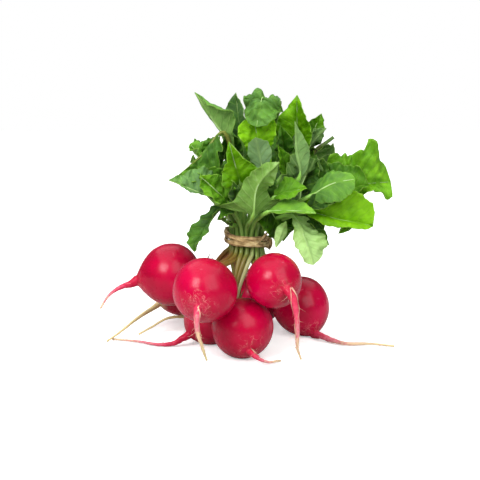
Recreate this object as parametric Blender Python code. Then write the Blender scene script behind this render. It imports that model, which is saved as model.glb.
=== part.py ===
"""A bunch of eight radishes, tied round the leaf stalks with raffia and standing on its bulbs.

Units are metres, +Z is up, +X runs to the right and +Y to the back. The tables below are in
millimetres, measured from the point on the table under the middle of the tie.
"""

import math
import random
from collections import namedtuple

import bmesh
import bpy
from mathutils import Matrix, Vector

MM = 0.001

# Where the middle of the tie stands, so that the bunch is centred on the origin
TIE_X = 0.4 * MM
TIE_Y = 8.0 * MM

# The tie and the bundle of stalks that it holds
TIE_HEIGHT = 54.0 * MM
TIE_SLOPE = 0.21
BUNDLE_RADIUS = 10.0 * MM
STRAIGHT_HALF = 6.5 * MM
RAFFIA_RADIUS = 0.75 * MM
RAFFIA_PITCH = 1.65 * MM
RAFFIA_TURNS = 4
RAFFIA_STEPS = 16
RAFFIA_SIDES = 5
KNOT_ANGLE = math.radians(-8)
KNOT_HALF_SIZE = (1.8 * MM, 2.4 * MM, 4.4 * MM)
KNOT_LIFT = 0.6 * RAFFIA_RADIUS
# The raffia's two ends: height of the start over the knot's middle, and the way that it points
RAFFIA_ENDS = ((2.6 * MM, (0.1, -0.5, 0.85)), (-2.2 * MM, (0.25, -0.15, -0.95)))
END_RADIUS = 0.8 * RAFFIA_RADIUS
# Along an end, from its start: distance out from the stalks and distance along its way
END_BEND = (2.2 * MM, 2.5 * MM)
END_TIP = (3.0 * MM, 8.5 * MM)
# Rings of stalks in the bundle, from the outside in: ring radius and number of stalks
STALK_RINGS = ((8.6 * MM, 19), (5.75 * MM, 13), (2.9 * MM, 6))

# Leaf stalks and blades
STALK_RADIUS = 1.2 * MM
CROWN_STALK_RADIUS = 1.55 * MM
RIB_RADIUS = 0.3 * MM
RIB_STEPS = 1
STALK_SIDES = 4
STALK_STEPS = (1, 1, 1, 1, 2)
STALK_FOOT = 1.4 * MM
STALK_RISE = 3.5 * MM
STALK_SPREAD = 0.4
GATHER_OUT = 3.0 * MM
GATHER_DROP = 3.0 * MM
BLADE_THICKNESS = 0.8 * MM
BLADE_STEPS = 8
TOOTH_DEPTH = 0.09
MARGIN_WAVE = 0.14
WAVES = 2.5
TIP_SHARE = 0.06
TIP_NARROWING = 0.8
LEAN_SHARE = 0.4

# Crowns, bulbs and roots
CROWN_RADIUS = 5.2 * MM
CROWN_HEIGHT = 3.2 * MM
CROWN_SHARES = (0.88, 0.8, 0.5)
CROWN_SIDES = 8
PIECE_GAP = 0.35 * MM
WIDEST_SHARE = 0.46
SHOULDER_POWER = 2.3
END_POWER = 2.1
BULB_SIDES = 12
BULB_STEPS = 8
TAIL_STEPS = 2
TAIL_RADIUS = 2.2 * MM
TAIL_TIP_RADIUS = 0.5 * MM
TAIL_MERGE_POWER = 3
TAIL_TAPER_POWER = 1.3
ROOTLETS = 3
ROOTLET_SIDES = 3
ROOTLET_RADIUS = 0.45 * MM
ROOTLET_LENGTHS = (3.5 * MM, 6.0 * MM)
ROOTLET_SUNK = 0.8 * MM
ROOTLET_LEAN = 0.9
# The share of its length at which a rootlet bends, and that it runs straight out for
ROOTLET_BEND = 0.35
ROOTLET_OUT = 0.6
# The widest that a rootlet is, as a share of the root that it grows from
ROOTLET_SHARE = 0.7

# Bulbs: centre, direction from crown to root, radius, length, taper, taproot width and route
RADISHES = {
    "front": dict(
        centre=(-2.2, -33.3, 14.3), heading=(0.23, -0.82, -0.52), radius=15.6, length=30,
        taper=1.7, tail=0.8,
        route=((4.2, -49.0, 4.6), (9.5, -48.0, 1.8), (16.5, -43.0, 0.9)),
    ),
    "front_left": dict(
        centre=(-21.0, -47.5, 37.4), heading=(-0.19, -0.93, -0.31), radius=15.9, length=31,
        taper=1.7, tail=0.95,
        route=(
            (-24.2, -66.5, 28.6), (-23.8, -66.8, 21.8), (-21.8, -65.2, 15.0),
            (-19.6, -62.5, 7.0),
        ),
    ),
    "front_right": dict(
        centre=(13.7, -38.5, 40.3), heading=(0.42, -0.9, -0.09), radius=13.7, length=27,
        taper=1.7, tail=1.1,
        route=(
            (22.3, -54.6, 35.0), (23.8, -56.4, 27.0), (24.4, -56.8, 18.0), (24.2, -56.0, 11.5),
            (26.2, -55.0, 5.2),
        ),
    ),
    "right": dict(
        centre=(29.4, 10.0, 14.2), heading=(0.35, -0.60, -0.72), radius=15.0, length=33,
        taper=1.5, tail=1.1,
        route=(
            (38.0, -4.4, 2.9), (44.0, -9.8, 1.9), (51.0, -14.6, 1.4), (63.5, -14.6, 1.3),
            (76.0, -17.4, 0.8),
        ),
    ),
    "left": dict(
        centre=(-41.0, 3.0, 33.4), heading=(-0.97, -0.17, -0.13), radius=16.4, length=34,
        taper=1.3, tail=1.3,
        route=(
            (-60.6, -1.2, 29.8), (-66.0, -2.2, 28.2), (-72.0, -3.4, 24.2), (-76.6, -5.0, 17.4),
        ),
    ),
    "low_left": dict(
        centre=(-19.5, -8.5, 12.9), heading=(-0.75, -0.45, -0.48), radius=14.0, length=28,
        taper=1.6, tail=1.0,
        route=(
            (-33.6, -15.8, 4.2), (-38.0, -16.4, 1.9), (-45.5, -16.2, 1.3), (-56.0, -10.4, 1.2),
            (-70.6, -4.0, 0.8),
        ),
    ),
    "back": dict(
        centre=(4.5, 31.0, 14.0), heading=(-0.55, -0.05, -0.83), radius=15.5, length=31,
        taper=1.6, tail=0.75,
        route=(
            (-9.5, 27.5, 2.1), (-20.0, 19.5, 3.0), (-33.0, 12.4, 8.2), (-42.5, 9.6, 8.2),
            (-50.5, 7.0, 4.2), (-57.3, 4.4, 0.9),
        ),
    ),
    "back_left": dict(
        centre=(-36.0, 32.5, 18.5), heading=(-0.75, -0.45, -0.40), radius=15.0, length=30,
        taper=1.6, tail=0.8,
        route=(
            (-50.2, 21.6, 11.0), (-55.2, 14.6, 9.4), (-61.0, 6.6, 6.8), (-67.2, -1.4, 3.4),
            (-73.0, -8.8, 0.9),
        ),
    ),
}

# Leaves: where the blade starts, its tip, the way its upper side faces, its width, how far its
# midrib arches towards that side as a share of its length, the angle that its two halves are
# folded up by, in degrees, and how near its base it is widest
Leaf = namedtuple("Leaf", "base tip face width arch fold breadth", defaults=(0.55,))
LEAVES = {
    "front": (
        Leaf((0.5, -24, 69), (9, -32, 95), (0.15, 0.92, 0.35), 32, 0.08, 30, 0.3),
        Leaf((8, -21, 90), (3.7, -30, 110.7), (0, 0.9, 0.4), 16, 0.15, 50),
        Leaf((8, -13, 86), (2, -15, 115), (0.1, -0.95, 0.3), 24, -0.05, 40),
        Leaf((9.3, -24, 72), (34, -33, 71.5), (0.1, -0.35, 0.93), 14, 0.10, 30),
        Leaf((0, -18, 86), (-9, -27, 108), (0.1, -0.9, 0.3), 18, 0.0, 50),
        Leaf((-7.6, -18, 76), (-22, -26, 97), (0.3, -0.85, 0.35), 16, 0.05, 40),
    ),
    "front_left": (
        Leaf((-12, -12, 73), (-40, -21, 83), (0.1, -0.35, 0.95), 21, 0.05, 18),
        Leaf((-8, -11, 63), (-15, -17, 67.5), (-0.2, -0.4, 0.9), 9, 0.1, 30),
        Leaf((-12, -9, 72), (-27, -13, 48.5), (-0.7, -0.5, 0.4), 15, 0.12, 90, 1.2),
    ),
    "front_right": (
        Leaf((20.6, -17, 69), (34, -28, 47.5), (-0.45, 0.8, -0.4), 21, -0.15, 30),
        Leaf((28, -17, 69), (66, -24, 72.5), (0, -0.75, 0.65), 20, 0.08, 30),
        Leaf((27, -20, 86), (22.5, -25, 118.5), (-0.75, 0.65, 0), 11, 0.0, 60),
        Leaf((7.6, -14, 66), (16, -19, 56), (0.3, -0.8, 0.5), 13, 0.1, 20),
        Leaf((24, -14, 70), (31, -18, 98), (-0.3, 0.8, 0.5), 17, 0.1, 50),
        Leaf((20, -16, 75), (26.5, -22, 95), (-0.3, 0.9, 0.3), 15, 0.1, 50),
    ),
    "right": (
        Leaf((43, 1, 80), (74.5, 5, 83), (0.1, -0.65, 0.75), 34, 0.1, 40),
        Leaf((31, -3, 80), (54, -4, 91), (-0.1, -0.7, 0.7), 20, 0.1, 30),
        Leaf((25, -4, 63), (42.5, -8, 52), (0.3, -0.6, 0.7), 11, 0.1, 30),
    ),
    "left": (
        Leaf((-16, 8, 95), (-34, 20, 97), (0.3, -0.2, 0.9), 20, 0.1, 40),
        Leaf((-20, 4, 76), (-34, 12, 86), (0.1, 0, 1), 18, 0.1, 40),
        Leaf((-14, 4, 74), (-33, 8, 84), (0, -0.2, 1), 16, 0.1, 40),
        Leaf((-18, 10, 84), (-31, 20, 93), (0.6, -0.3, 0.7), 18, 0.1, 40),
    ),
    "low_left": (
        Leaf((-14.5, -4, 106), (-38, -11, 88), (-0.3, -0.75, 0.6), 28, 0.15, -50),
        Leaf((-8.7, -4, 98.5), (-27, -5, 130), (0.3, 0.75, 0.55), 20, 0.0, 70),
        Leaf((-15, -5, 84), (-29, -9, 99), (0.3, -0.6, 0.7), 18, 0.05, 40),
    ),
    "back": (
        Leaf((26, 8, 93), (25.7, 8, 127.5), (-0.3, -0.9, 0.1), 18, 0.0, 50),
        Leaf((27.5, 5, 91.6), (40.5, 2, 111.3), (-0.4, 0.8, 0.4), 16, 0.1, 50),
        Leaf((29, 14, 98), (39, 16, 117), (0.5, -0.7, 0.5), 12, 0.05, 40),
        Leaf((14, 18, 88), (22, 40, 108), (0, -0.5, 0.85), 24, 0.1, 40),
        Leaf((16, 22, 74), (26, 52, 76), (0, -0.1, 1), 24, 0.15, 40),
        Leaf((30, 9, 97), (48, 12, 85), (0.4, 0.8, 0.3), 16, 0.1, 40),
        Leaf((19, 9, 79), (35, 12, 101), (-0.2, -0.8, 0.5), 19, 0.05, 30),
        Leaf((36, 9, 99), (45, 10, 105.5), (0, 1, 0), 0, 0.0, 0),
    ),
    "back_left": (
        Leaf((-2, 6, 105), (-5.6, 5, 129.5), (-0.8, -0.5, 0.2), 12, 0.0, 40),
        Leaf((8.8, 3, 96), (6, -4, 127.8), (-0.1, 0.85, 0.5), 21, 0.1, 50),
        Leaf((-3, 20, 92), (-8, 38, 116), (0, -0.6, 0.8), 20, 0.1, 40),
        Leaf((-10, 22, 76), (-18, 52, 84), (0, -0.2, 1), 24, 0.15, 40),
        Leaf((2, 22, 84), (2, 46, 100), (0, -0.6, 0.8), 22, 0.1, 40),
    ),
}


def mm(values):
    """A point of the tables as a vector in metres."""
    return Vector(values) * MM


def between(a, b, c, d, t):
    """The point at t, from 0 to 1, between b and c on the smooth curve through a, b, c and d."""
    tb = (b - a).length ** 0.5
    tc = tb + (c - b).length ** 0.5
    td = tc + (d - c).length ** 0.5
    at = tb + (tc - tb) * t
    ab = a.lerp(b, at / tb)
    bc = b.lerp(c, (at - tb) / (tc - tb))
    cd = c.lerp(d, (at - tc) / (td - tc))
    abc = ab.lerp(bc, at / tc)
    bcd = bc.lerp(cd, (at - tb) / (td - tb))
    return abc.lerp(bcd, (at - tb) / (tc - tb))


def smooth_line(points, steps):
    """Points along the smooth curve through points, with steps[i] pieces from point i to the next."""
    before = points[0] * 2 - points[1]
    after = points[-1] * 2 - points[-2]
    padded = [before, *points, after]
    line = []
    for i, count in enumerate(steps):
        line += [between(*padded[i : i + 4], k / count) for k in range(count)]
    return [*line, points[-1].copy()]


def tangents(line):
    """The direction of the line at each of its points."""
    last = len(line) - 1
    return [(line[min(i + 1, last)] - line[max(i - 1, 0)]).normalized() for i in range(last + 1)]


def add_tube(mesh, line, radii, sides):
    """Adds a closed round tube along a line, with a radius at each point, and no twist."""
    ways = tangents(line)
    side = ways[0].orthogonal().normalized()
    rings = []
    for point, way, radius in zip(line, ways, radii):
        side = (side - way * side.dot(way)).normalized()
        other = way.cross(side)
        angles = [2 * math.pi * k / sides for k in range(sides)]
        ring = [mesh.verts.new(point + (side * math.cos(a) + other * math.sin(a)) * radius) for a in angles]
        rings.append(ring)
    for ring, after in zip(rings, rings[1:]):
        for k in range(sides):
            n = (k + 1) % sides
            mesh.faces.new((ring[k], ring[n], after[n], after[k]))
    mesh.faces.new(list(reversed(rings[0])))
    mesh.faces.new(rings[-1])


def material(name, colour, roughness):
    """A plain coloured surface."""
    made = bpy.data.materials.new(name)
    made.use_nodes = True
    shader = made.node_tree.nodes["Principled BSDF"]
    shader.inputs["Base Color"].default_value = (*colour, 1)
    shader.inputs["Roughness"].default_value = roughness
    shader.inputs["Metallic"].default_value = 0
    return made


def piece(name, mesh, surface, bunch):
    """Makes an object of a finished mesh and stands it in the bunch."""
    bmesh.ops.triangulate(mesh, faces=[f for f in mesh.faces if len(f.verts) > 4])
    data = bpy.data.meshes.new(name)
    mesh.to_mesh(data)
    mesh.free()
    data.shade_smooth()
    made = bpy.data.objects.new(name, data)
    made.data.materials.append(surface)
    made.parent = bunch
    bpy.context.scene.collection.objects.link(made)
    return made


def fused(name, meshes, surface, bunch):
    """One body of several overlapping closed meshes, joined by one Boolean union."""
    body = piece(name, meshes[0], surface, bunch)
    if len(meshes) == 1:
        return body
    group = bpy.data.collections.new(name + "_repeats")
    bpy.context.scene.collection.children.link(group)
    for index, mesh in enumerate(meshes[1:]):
        made = piece(f"{name}_repeat_{index}", mesh, surface, bunch)
        bpy.context.scene.collection.objects.unlink(made)
        group.objects.link(made)
    join = body.modifiers.new("join", "BOOLEAN")
    join.operation = "UNION"
    join.operand_type = "COLLECTION"
    join.collection = group
    join.solver = "MANIFOLD"
    bpy.context.view_layer.update()
    bpy.context.view_layer.objects.active = body
    bpy.ops.object.modifier_apply(modifier=join.name)
    for made in list(group.objects):
        bpy.data.objects.remove(made)
    bpy.data.collections.remove(group)
    keep_one_shell(body.data)
    return body


def keep_one_shell(data):
    """Fills the hollows that crossing stalks close off, and drops loose scraps."""
    mesh = bmesh.new()
    mesh.from_mesh(data)
    left = set(mesh.faces)
    shells = []
    while left:
        reached = [left.pop()]
        for face in reached:
            near = {other for edge in face.edges for other in edge.link_faces} & left
            left -= near
            reached += near
        shells.append(reached)
    shells.sort(key=len)
    bmesh.ops.delete(mesh, geom=[face for shell in shells[:-1] for face in shell], context="FACES")
    mesh.to_mesh(data)
    mesh.free()


def heading_of(spec):
    return Vector(spec["heading"]).normalized()


def crown_of(spec):
    """The middle of the bulb's crown, where the stalks spring from."""
    return mm(spec["centre"]) - heading_of(spec) * spec["length"] * MM / 2


def bulb_radius(spec, share):
    """The bulb's radius at a share of its length from the crown: broad shoulders, tapered end."""
    radius = spec["radius"] * MM
    if share < WIDEST_SHARE:
        rise = 1 - ((WIDEST_SHARE - share) / WIDEST_SHARE) ** SHOULDER_POWER
        return max(radius * rise**0.5, CROWN_RADIUS)
    fall = 1 - ((share - WIDEST_SHARE) / (1 - WIDEST_SHARE)) ** END_POWER
    return radius * max(fall, 0) ** (1 / spec["taper"])


def add_bulb(mesh, spec):
    """Adds the bulb and its taproot as one turned skin along one line."""
    crown = crown_of(spec)
    end = crown + heading_of(spec) * spec["length"] * MM
    tail = TAIL_RADIUS * spec["tail"]
    shares = [0.5 - 0.5 * math.cos(math.pi * k / BULB_STEPS) for k in range(BULB_STEPS)]
    line = [crown.lerp(end, share) for share in shares]
    radii = [math.hypot(bulb_radius(spec, share), tail * share**TAIL_MERGE_POWER) for share in shares]
    route = smooth_line([end, *map(mm, spec["route"])], [TAIL_STEPS] * len(spec["route"]))
    for index, point in enumerate(route):
        left = 1 - index / (len(route) - 1)
        line.append(point)
        radii.append(TAIL_TIP_RADIUS + (tail - TAIL_TIP_RADIUS) * left**TAIL_TAPER_POWER)
    add_tube(mesh, line, radii, BULB_SIDES)
    return line, radii


def stand_on_table(mesh):
    """Cuts a bulb level where it meets the table."""
    parts = mesh.verts[:] + mesh.edges[:] + mesh.faces[:]
    cut = bmesh.ops.bisect_plane(
        mesh, geom=parts, dist=1e-7, plane_co=(0, 0, 0), plane_no=(0, 0, 1), clear_inner=True
    )
    edges = [e for e in cut["geom_cut"] if isinstance(e, bmesh.types.BMEdge)]
    if edges:
        bmesh.ops.holes_fill(mesh, edges=edges)


def add_rootlet(mesh, start, way, droop, length, radius):
    """Adds one fine side root that runs out and turns along droop."""
    sunk = start - way * ROOTLET_SUNK
    end = start + way * length * ROOTLET_OUT + droop * length * (1 - ROOTLET_OUT)
    points = [sunk, start + way * length * ROOTLET_BEND, end]
    line = smooth_line(points, [2, 2])
    radii = [radius * (1 - 0.5 * k / (len(line) - 1)) for k in range(len(line))]
    add_tube(mesh, line, radii, ROOTLET_SIDES)


def make_radish(name, spec, surface, bunch, rng):
    """One root: its bulb and taproot, with a few side roots."""
    body = bmesh.new()
    line, radii = add_bulb(body, spec)
    stand_on_table(body)
    meshes = [body]
    first = BULB_STEPS + 1
    ways = tangents(line)
    for _ in range(ROOTLETS):
        at = rng.randrange(first, len(line) - 2)
        turn = Matrix.Rotation(rng.uniform(0, 2 * math.pi), 3, ways[at])
        way = turn @ ways[at].orthogonal().normalized()
        way = (way + ways[at] * ROOTLET_LEAN).normalized()
        way.z = max(way.z, 0.0)
        length = rng.uniform(*ROOTLET_LENGTHS)
        thick = min(ROOTLET_RADIUS, radii[at] * ROOTLET_SHARE)
        rootlet = bmesh.new()
        add_rootlet(rootlet, line[at], way, ways[at], length, thick)
        meshes.append(rootlet)
    return fused("radish_" + name, meshes, surface, bunch)


def leaf_line(spec, leaf, slot, middle):
    """The points that a leaf's line passes: crown, both ends of its straight run in the tie, blade."""
    out = -heading_of(spec)
    spread = (slot - middle) * STALK_SPREAD
    spread -= out * spread.dot(out)
    root = crown_of(spec) + out * (PIECE_GAP + STALK_FOOT) + spread
    above = slot + Vector((0, 0, STRAIGHT_HALF))
    below = slot - Vector((0, 0, STRAIGHT_HALF))
    base, tip = mm(leaf.base), mm(leaf.tip)
    face = Vector(leaf.face).normalized()
    bow = base.lerp(tip, 0.5) + face * (tip - base).length * leaf.arch
    aside = Vector((root.x - below.x, root.y - below.y, 0))
    gathered = below + aside * min(GATHER_OUT / aside.length, 1) - Vector((0, 0, GATHER_DROP))
    return [root, root + out * STALK_RISE, gathered, below, above, base, bow, tip]


def blade_outline(u, breadth):
    """Half the blade's width at a share u of its length, as a share of its widest half."""
    peak = breadth / (breadth + TIP_NARROWING)
    widest = peak**breadth * (1 - peak) ** TIP_NARROWING
    return u**breadth * (1 - u) ** TIP_NARROWING / widest


def add_blade(mesh, line, leaf, phase):
    """Adds a blade with a toothed, waved margin, folded along its midrib, as one thin slab."""
    ways = tangents(line)
    face = Vector(leaf.face).normalized()
    half = leaf.width * MM / 2
    fold = math.radians(leaf.fold) / 2
    rows = []
    for i, (point, way) in enumerate(zip(line, ways)):
        u = i / (len(line) - 1)
        normal = (face - way * face.dot(way)).normalized()
        side = way.cross(normal)
        outline = max(blade_outline(u, leaf.breadth), TIP_SHARE)
        reach = half * outline * (1 + TOOTH_DEPTH * (-1) ** i)
        row = [point]
        for hand in (-1, 1):
            wave = half * MARGIN_WAVE * math.sin(2 * math.pi * WAVES * u + phase * hand)
            edge = point + side * hand * reach * math.cos(fold) + normal * (reach * math.sin(fold) + wave)
            row.insert(0 if hand < 0 else 2, edge)
        rows.append(row)
    add_slab(mesh, rows, BLADE_THICKNESS / 2)


def add_slab(mesh, rows, half):
    """Adds a closed slab round a grid of points, split into triangles alike on both faces."""
    tall, wide = len(rows), len(rows[0])
    sides = {}
    for i in range(tall):
        for j in range(wide):
            along = rows[min(i + 1, tall - 1)][j] - rows[max(i - 1, 0)][j]
            across = rows[i][min(j + 1, wide - 1)] - rows[i][max(j - 1, 0)]
            normal = across.cross(along).normalized() * half
            sides[i, j] = (mesh.verts.new(rows[i][j] + normal), mesh.verts.new(rows[i][j] - normal))
    for i in range(tall - 1):
        for j in range(wide - 1):
            a, b, c, d = (i, j), (i, j + 1), (i + 1, j + 1), (i + 1, j)
            for p, q, r in ((a, b, c), (a, c, d)):
                mesh.faces.new((sides[p][0], sides[q][0], sides[r][0]))
                mesh.faces.new((sides[r][1], sides[q][1], sides[p][1]))
    rim = [(0, j) for j in range(wide - 1)] + [(i, wide - 1) for i in range(tall - 1)]
    rim += [(tall - 1, j) for j in range(wide - 1, 0, -1)] + [(i, 0) for i in range(tall - 1, 0, -1)]
    for p, q in zip(rim, rim[1:] + rim[:1]):
        mesh.faces.new((sides[p][0], sides[p][1], sides[q][1]))
        mesh.faces.new((sides[p][0], sides[q][1], sides[q][0]))


def bearing(point):
    return math.atan2(point[1], point[0])


def nearest_turn(angle):
    """The same direction as an angle from -pi to pi."""
    return math.atan2(math.sin(angle), math.cos(angle))


def lean(leaf):
    """How far a leaf leans out from the tie: the outermost stalks carry those that lean most."""
    middle = mm(leaf.base).lerp(mm(leaf.tip), LEAN_SHARE)
    return math.hypot(middle.x, middle.y) / max(middle.z - TIE_HEIGHT, 1 * MM)


def stalk_slots():
    """Deals the places in the bundle: for each plant and leaf, the middle of its straight run.

    The plants follow each other round the bundle as their crowns do, and each takes a wedge of
    it. In a wedge the leaves that lean most take the outside, so that no stalks cross.
    """
    names = sorted(RADISHES, key=lambda name: bearing(crown_of(RADISHES[name])) % (2 * math.pi))
    places = []
    for radius, count in STALK_RINGS:
        places += [(2 * math.pi * (k + 0.5) / count, radius) for k in range(count)]
    places.sort()
    wedges = {}
    for name in names:
        count = len(LEAVES[name])
        wedges[name], places = places[:count], places[count:]
    misses = [
        nearest_turn(bearing(crown_of(RADISHES[name])) - sum(a for a, _ in wedge) / len(wedge))
        for name, wedge in wedges.items()
    ]
    start = sum(misses) / len(misses)
    slots = {}
    for name, wedge in wedges.items():
        middle = start + sum(a for a, _ in wedge) / len(wedge)
        order = sorted(range(len(wedge)), key=lambda index: -lean(LEAVES[name][index]))
        for radius, _ in STALK_RINGS:
            angles = [angle for angle, r in wedge if r == radius]
            ring, order = order[: len(angles)], order[len(angles) :]
            ring.sort(key=lambda index: nearest_turn(bearing(LEAVES[name][index].base) - middle))
            for angle, index in zip(angles, ring):
                x, y = radius * math.cos(start + angle), radius * math.sin(start + angle)
                slots[name, index] = Vector((x, y, TIE_HEIGHT - TIE_SLOPE * x))
    return slots


def leaf_meshes(spec, leaf, slot, middle, phase):
    """One leaf: its stalk, which sinks into the blade as the midrib, and its blade."""
    points = leaf_line(spec, leaf, slot, middle)
    line = smooth_line(points, (*STALK_STEPS, BLADE_STEPS // 2, BLADE_STEPS // 2))
    foot = sum(STALK_STEPS[:3])
    base = sum(STALK_STEPS)
    end = base + RIB_STEPS if leaf.width else len(line) - 1
    radii = []
    for k in range(end + 1):
        thick = CROWN_STALK_RADIUS + (STALK_RADIUS - CROWN_STALK_RADIUS) * min(k / foot, 1)
        sunk = max(k - base, 0) / RIB_STEPS if leaf.width else 0
        radii.append(thick + (RIB_RADIUS - thick) * sunk)
    stalk = bmesh.new()
    add_tube(stalk, line[: end + 1], radii, STALK_SIDES)
    if not leaf.width:
        return [stalk]
    blade = bmesh.new()
    add_blade(blade, line[base:], leaf, phase)
    return [stalk, blade]


def crown_mesh(spec):
    """The green crown that the stalks spring from, a hair's breadth off its bulb."""
    foot = crown_of(spec) - heading_of(spec) * PIECE_GAP
    head = foot - heading_of(spec) * CROWN_HEIGHT
    crown = bmesh.new()
    radii = [CROWN_RADIUS * share for share in CROWN_SHARES]
    add_tube(crown, [foot, foot.lerp(head, 0.5), head], radii, CROWN_SIDES)
    return crown


def make_tops(name, spec, slots, surface, bunch, rng):
    """One plant's green tops: the crown, its stalks and their blades, grown together."""
    meshes = [crown_mesh(spec)]
    own = [slots[name, index] for index in range(len(LEAVES[name]))]
    middle = sum(own, Vector()) / len(own)
    for leaf, slot in zip(LEAVES[name], own):
        meshes += leaf_meshes(spec, leaf, slot, middle, rng.uniform(0, 2 * math.pi))
    return fused("tops_" + name, meshes, surface, bunch)


def make_tie(surface, bunch):
    """The raffia: four sloping turns round the stalks, a knot on the right and two short ends."""
    reach = BUNDLE_RADIUS + RAFFIA_RADIUS + PIECE_GAP
    middle = Vector((0, 0, TIE_HEIGHT))

    def on_coil(angle, height, radius):
        x, y = radius * math.cos(angle), radius * math.sin(angle)
        return middle + Vector((x, y, height - TIE_SLOPE * x))

    count = RAFFIA_TURNS * RAFFIA_STEPS
    line = []
    for k in range(count + 1):
        height = RAFFIA_PITCH * RAFFIA_TURNS * (k / count - 0.5)
        line.append(on_coil(KNOT_ANGLE + 2 * math.pi * k / RAFFIA_STEPS, height, reach))
    coil = bmesh.new()
    add_tube(coil, line, [RAFFIA_RADIUS] * len(line), RAFFIA_SIDES)
    knot = bmesh.new()
    bmesh.ops.create_icosphere(knot, subdivisions=1, radius=1)
    place = Matrix.Translation(on_coil(KNOT_ANGLE, 0, reach + KNOT_LIFT))
    size = Matrix.Diagonal((*KNOT_HALF_SIZE, 1))
    knot.transform(place @ Matrix.Rotation(KNOT_ANGLE, 4, "Z") @ size)
    meshes = [coil, knot]
    out = Vector((math.cos(KNOT_ANGLE), math.sin(KNOT_ANGLE), 0))
    for rise, way in RAFFIA_ENDS:
        start = on_coil(KNOT_ANGLE, rise, reach + END_RADIUS)
        points = [start] + [start + out * away + Vector(way) * far for away, far in (END_BEND, END_TIP)]
        line = smooth_line(points, [2, 3])
        end = bmesh.new()
        add_tube(end, line, [END_RADIUS] * len(line), RAFFIA_SIDES)
        meshes.append(end)
    return fused("raffia_tie", meshes, surface, bunch)


def main():
    for old in list(bpy.data.objects):
        bpy.data.objects.remove(old)
    bunch = bpy.data.objects.new("bunch", None)
    bunch.location = (TIE_X, TIE_Y, 0)
    bpy.context.scene.collection.objects.link(bunch)
    red = material("radish_skin", (0.62, 0.012, 0.06), 0.3)
    green = material("radish_leaf", (0.11, 0.30, 0.03), 0.5)
    straw = material("raffia", (0.45, 0.30, 0.14), 0.8)
    slots = stalk_slots()
    for order, (name, spec) in enumerate(RADISHES.items()):
        make_radish(name, spec, red, bunch, random.Random(10 + order))
        make_tops(name, spec, slots, green, bunch, random.Random(40 + order))
    make_tie(straw, bunch)
    bpy.context.view_layer.update()


main()
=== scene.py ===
# Bunch of radishes: the looks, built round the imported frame

import math
import random
from collections import namedtuple

import bpy
from mathutils import Matrix, Vector, noise


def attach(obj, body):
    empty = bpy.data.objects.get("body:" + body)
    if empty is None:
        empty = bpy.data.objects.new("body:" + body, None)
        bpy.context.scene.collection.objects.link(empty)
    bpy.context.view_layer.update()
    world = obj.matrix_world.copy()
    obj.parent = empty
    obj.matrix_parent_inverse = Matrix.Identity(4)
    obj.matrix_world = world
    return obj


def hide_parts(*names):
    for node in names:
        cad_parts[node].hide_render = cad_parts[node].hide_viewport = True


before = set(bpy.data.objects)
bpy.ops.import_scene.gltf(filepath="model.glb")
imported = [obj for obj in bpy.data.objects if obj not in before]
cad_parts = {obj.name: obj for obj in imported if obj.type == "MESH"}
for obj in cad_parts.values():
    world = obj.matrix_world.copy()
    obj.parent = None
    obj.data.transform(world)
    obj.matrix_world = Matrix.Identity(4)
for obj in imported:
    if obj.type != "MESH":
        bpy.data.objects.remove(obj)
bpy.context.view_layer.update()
mm = 0.001
turn = 2 * math.pi
print("frame loaded:", len(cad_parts), "nodes")


# Colours and nodes

def linear(hexText):  # an sRGB hex value as linear red, green, blue and alpha
    parts = [int(hexText[i : i + 2], 16) / 255 for i in (1, 3, 5)]
    return (*[c / 12.92 if c <= 0.04045 else ((c + 0.055) / 1.055) ** 2.4 for c in parts], 1)


def add(tree, kind, inputs=(), ramp=(), **settings):
    # One node, its settings and its links: an input takes a socket, a node's first output that is
    # in use, a hex colour or a plain value. Inputs 1 to 4 of MapRange are its limits, from and to
    made = tree.nodes.new("ShaderNode" + kind)
    for key, value in settings.items():
        setattr(made, key, value)
    for key, value in dict(inputs).items():
        if isinstance(value, bpy.types.Node):
            value = next(output for output in value.outputs if output.enabled)
        if isinstance(value, bpy.types.NodeSocket):
            tree.links.new(value, made.inputs[key])
        else:
            made.inputs[key].default_value = linear(value) if isinstance(value, str) else value
    for index, (place, colour) in enumerate(ramp):
        stops = made.color_ramp.elements
        stop = stops[index] if index < len(stops) else stops.new(place)
        stop.position = place
        stop.color = linear(colour)
    return made


def newMaterial(name):
    made = bpy.data.materials.new(name)
    made.use_nodes = True
    tree = made.node_tree
    return made, tree, tree.nodes["Principled BSDF"], tree.nodes["Material Output"]


# Lines and tubes

def between(a, b, c, d, t):  # the point at t from b to c on the smooth curve through all four
    tb = (b - a).length ** 0.5
    tc = tb + (c - b).length ** 0.5
    td = tc + (d - c).length ** 0.5
    at = tb + (tc - tb) * t
    ab = a.lerp(b, at / tb)
    bc = b.lerp(c, (at - tb) / (tc - tb))
    cd = c.lerp(d, (at - tc) / (td - tc))
    return ab.lerp(bc, at / tc).lerp(bc.lerp(cd, (at - tb) / (td - tb)), (at - tb) / (tc - tb))


def smoothLine(points, steps):  # steps[i] pieces from point i to the next
    padded = [points[0] * 2 - points[1], *points, points[-1] * 2 - points[-2]]
    line = []
    for i, count in enumerate(steps):
        line += [between(*padded[i : i + 4], k / count) for k in range(count)]
    return [*line, points[-1].copy()]


def tangents(line):
    last = len(line) - 1
    return [(line[min(i + 1, last)] - line[max(i - 1, 0)]).normalized() for i in range(last + 1)]


def selectOnly(*objects):
    bpy.ops.object.select_all(action="DESELECT")
    for each in objects:
        each.select_set(True)
    bpy.context.view_layer.objects.active = objects[0]


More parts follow.
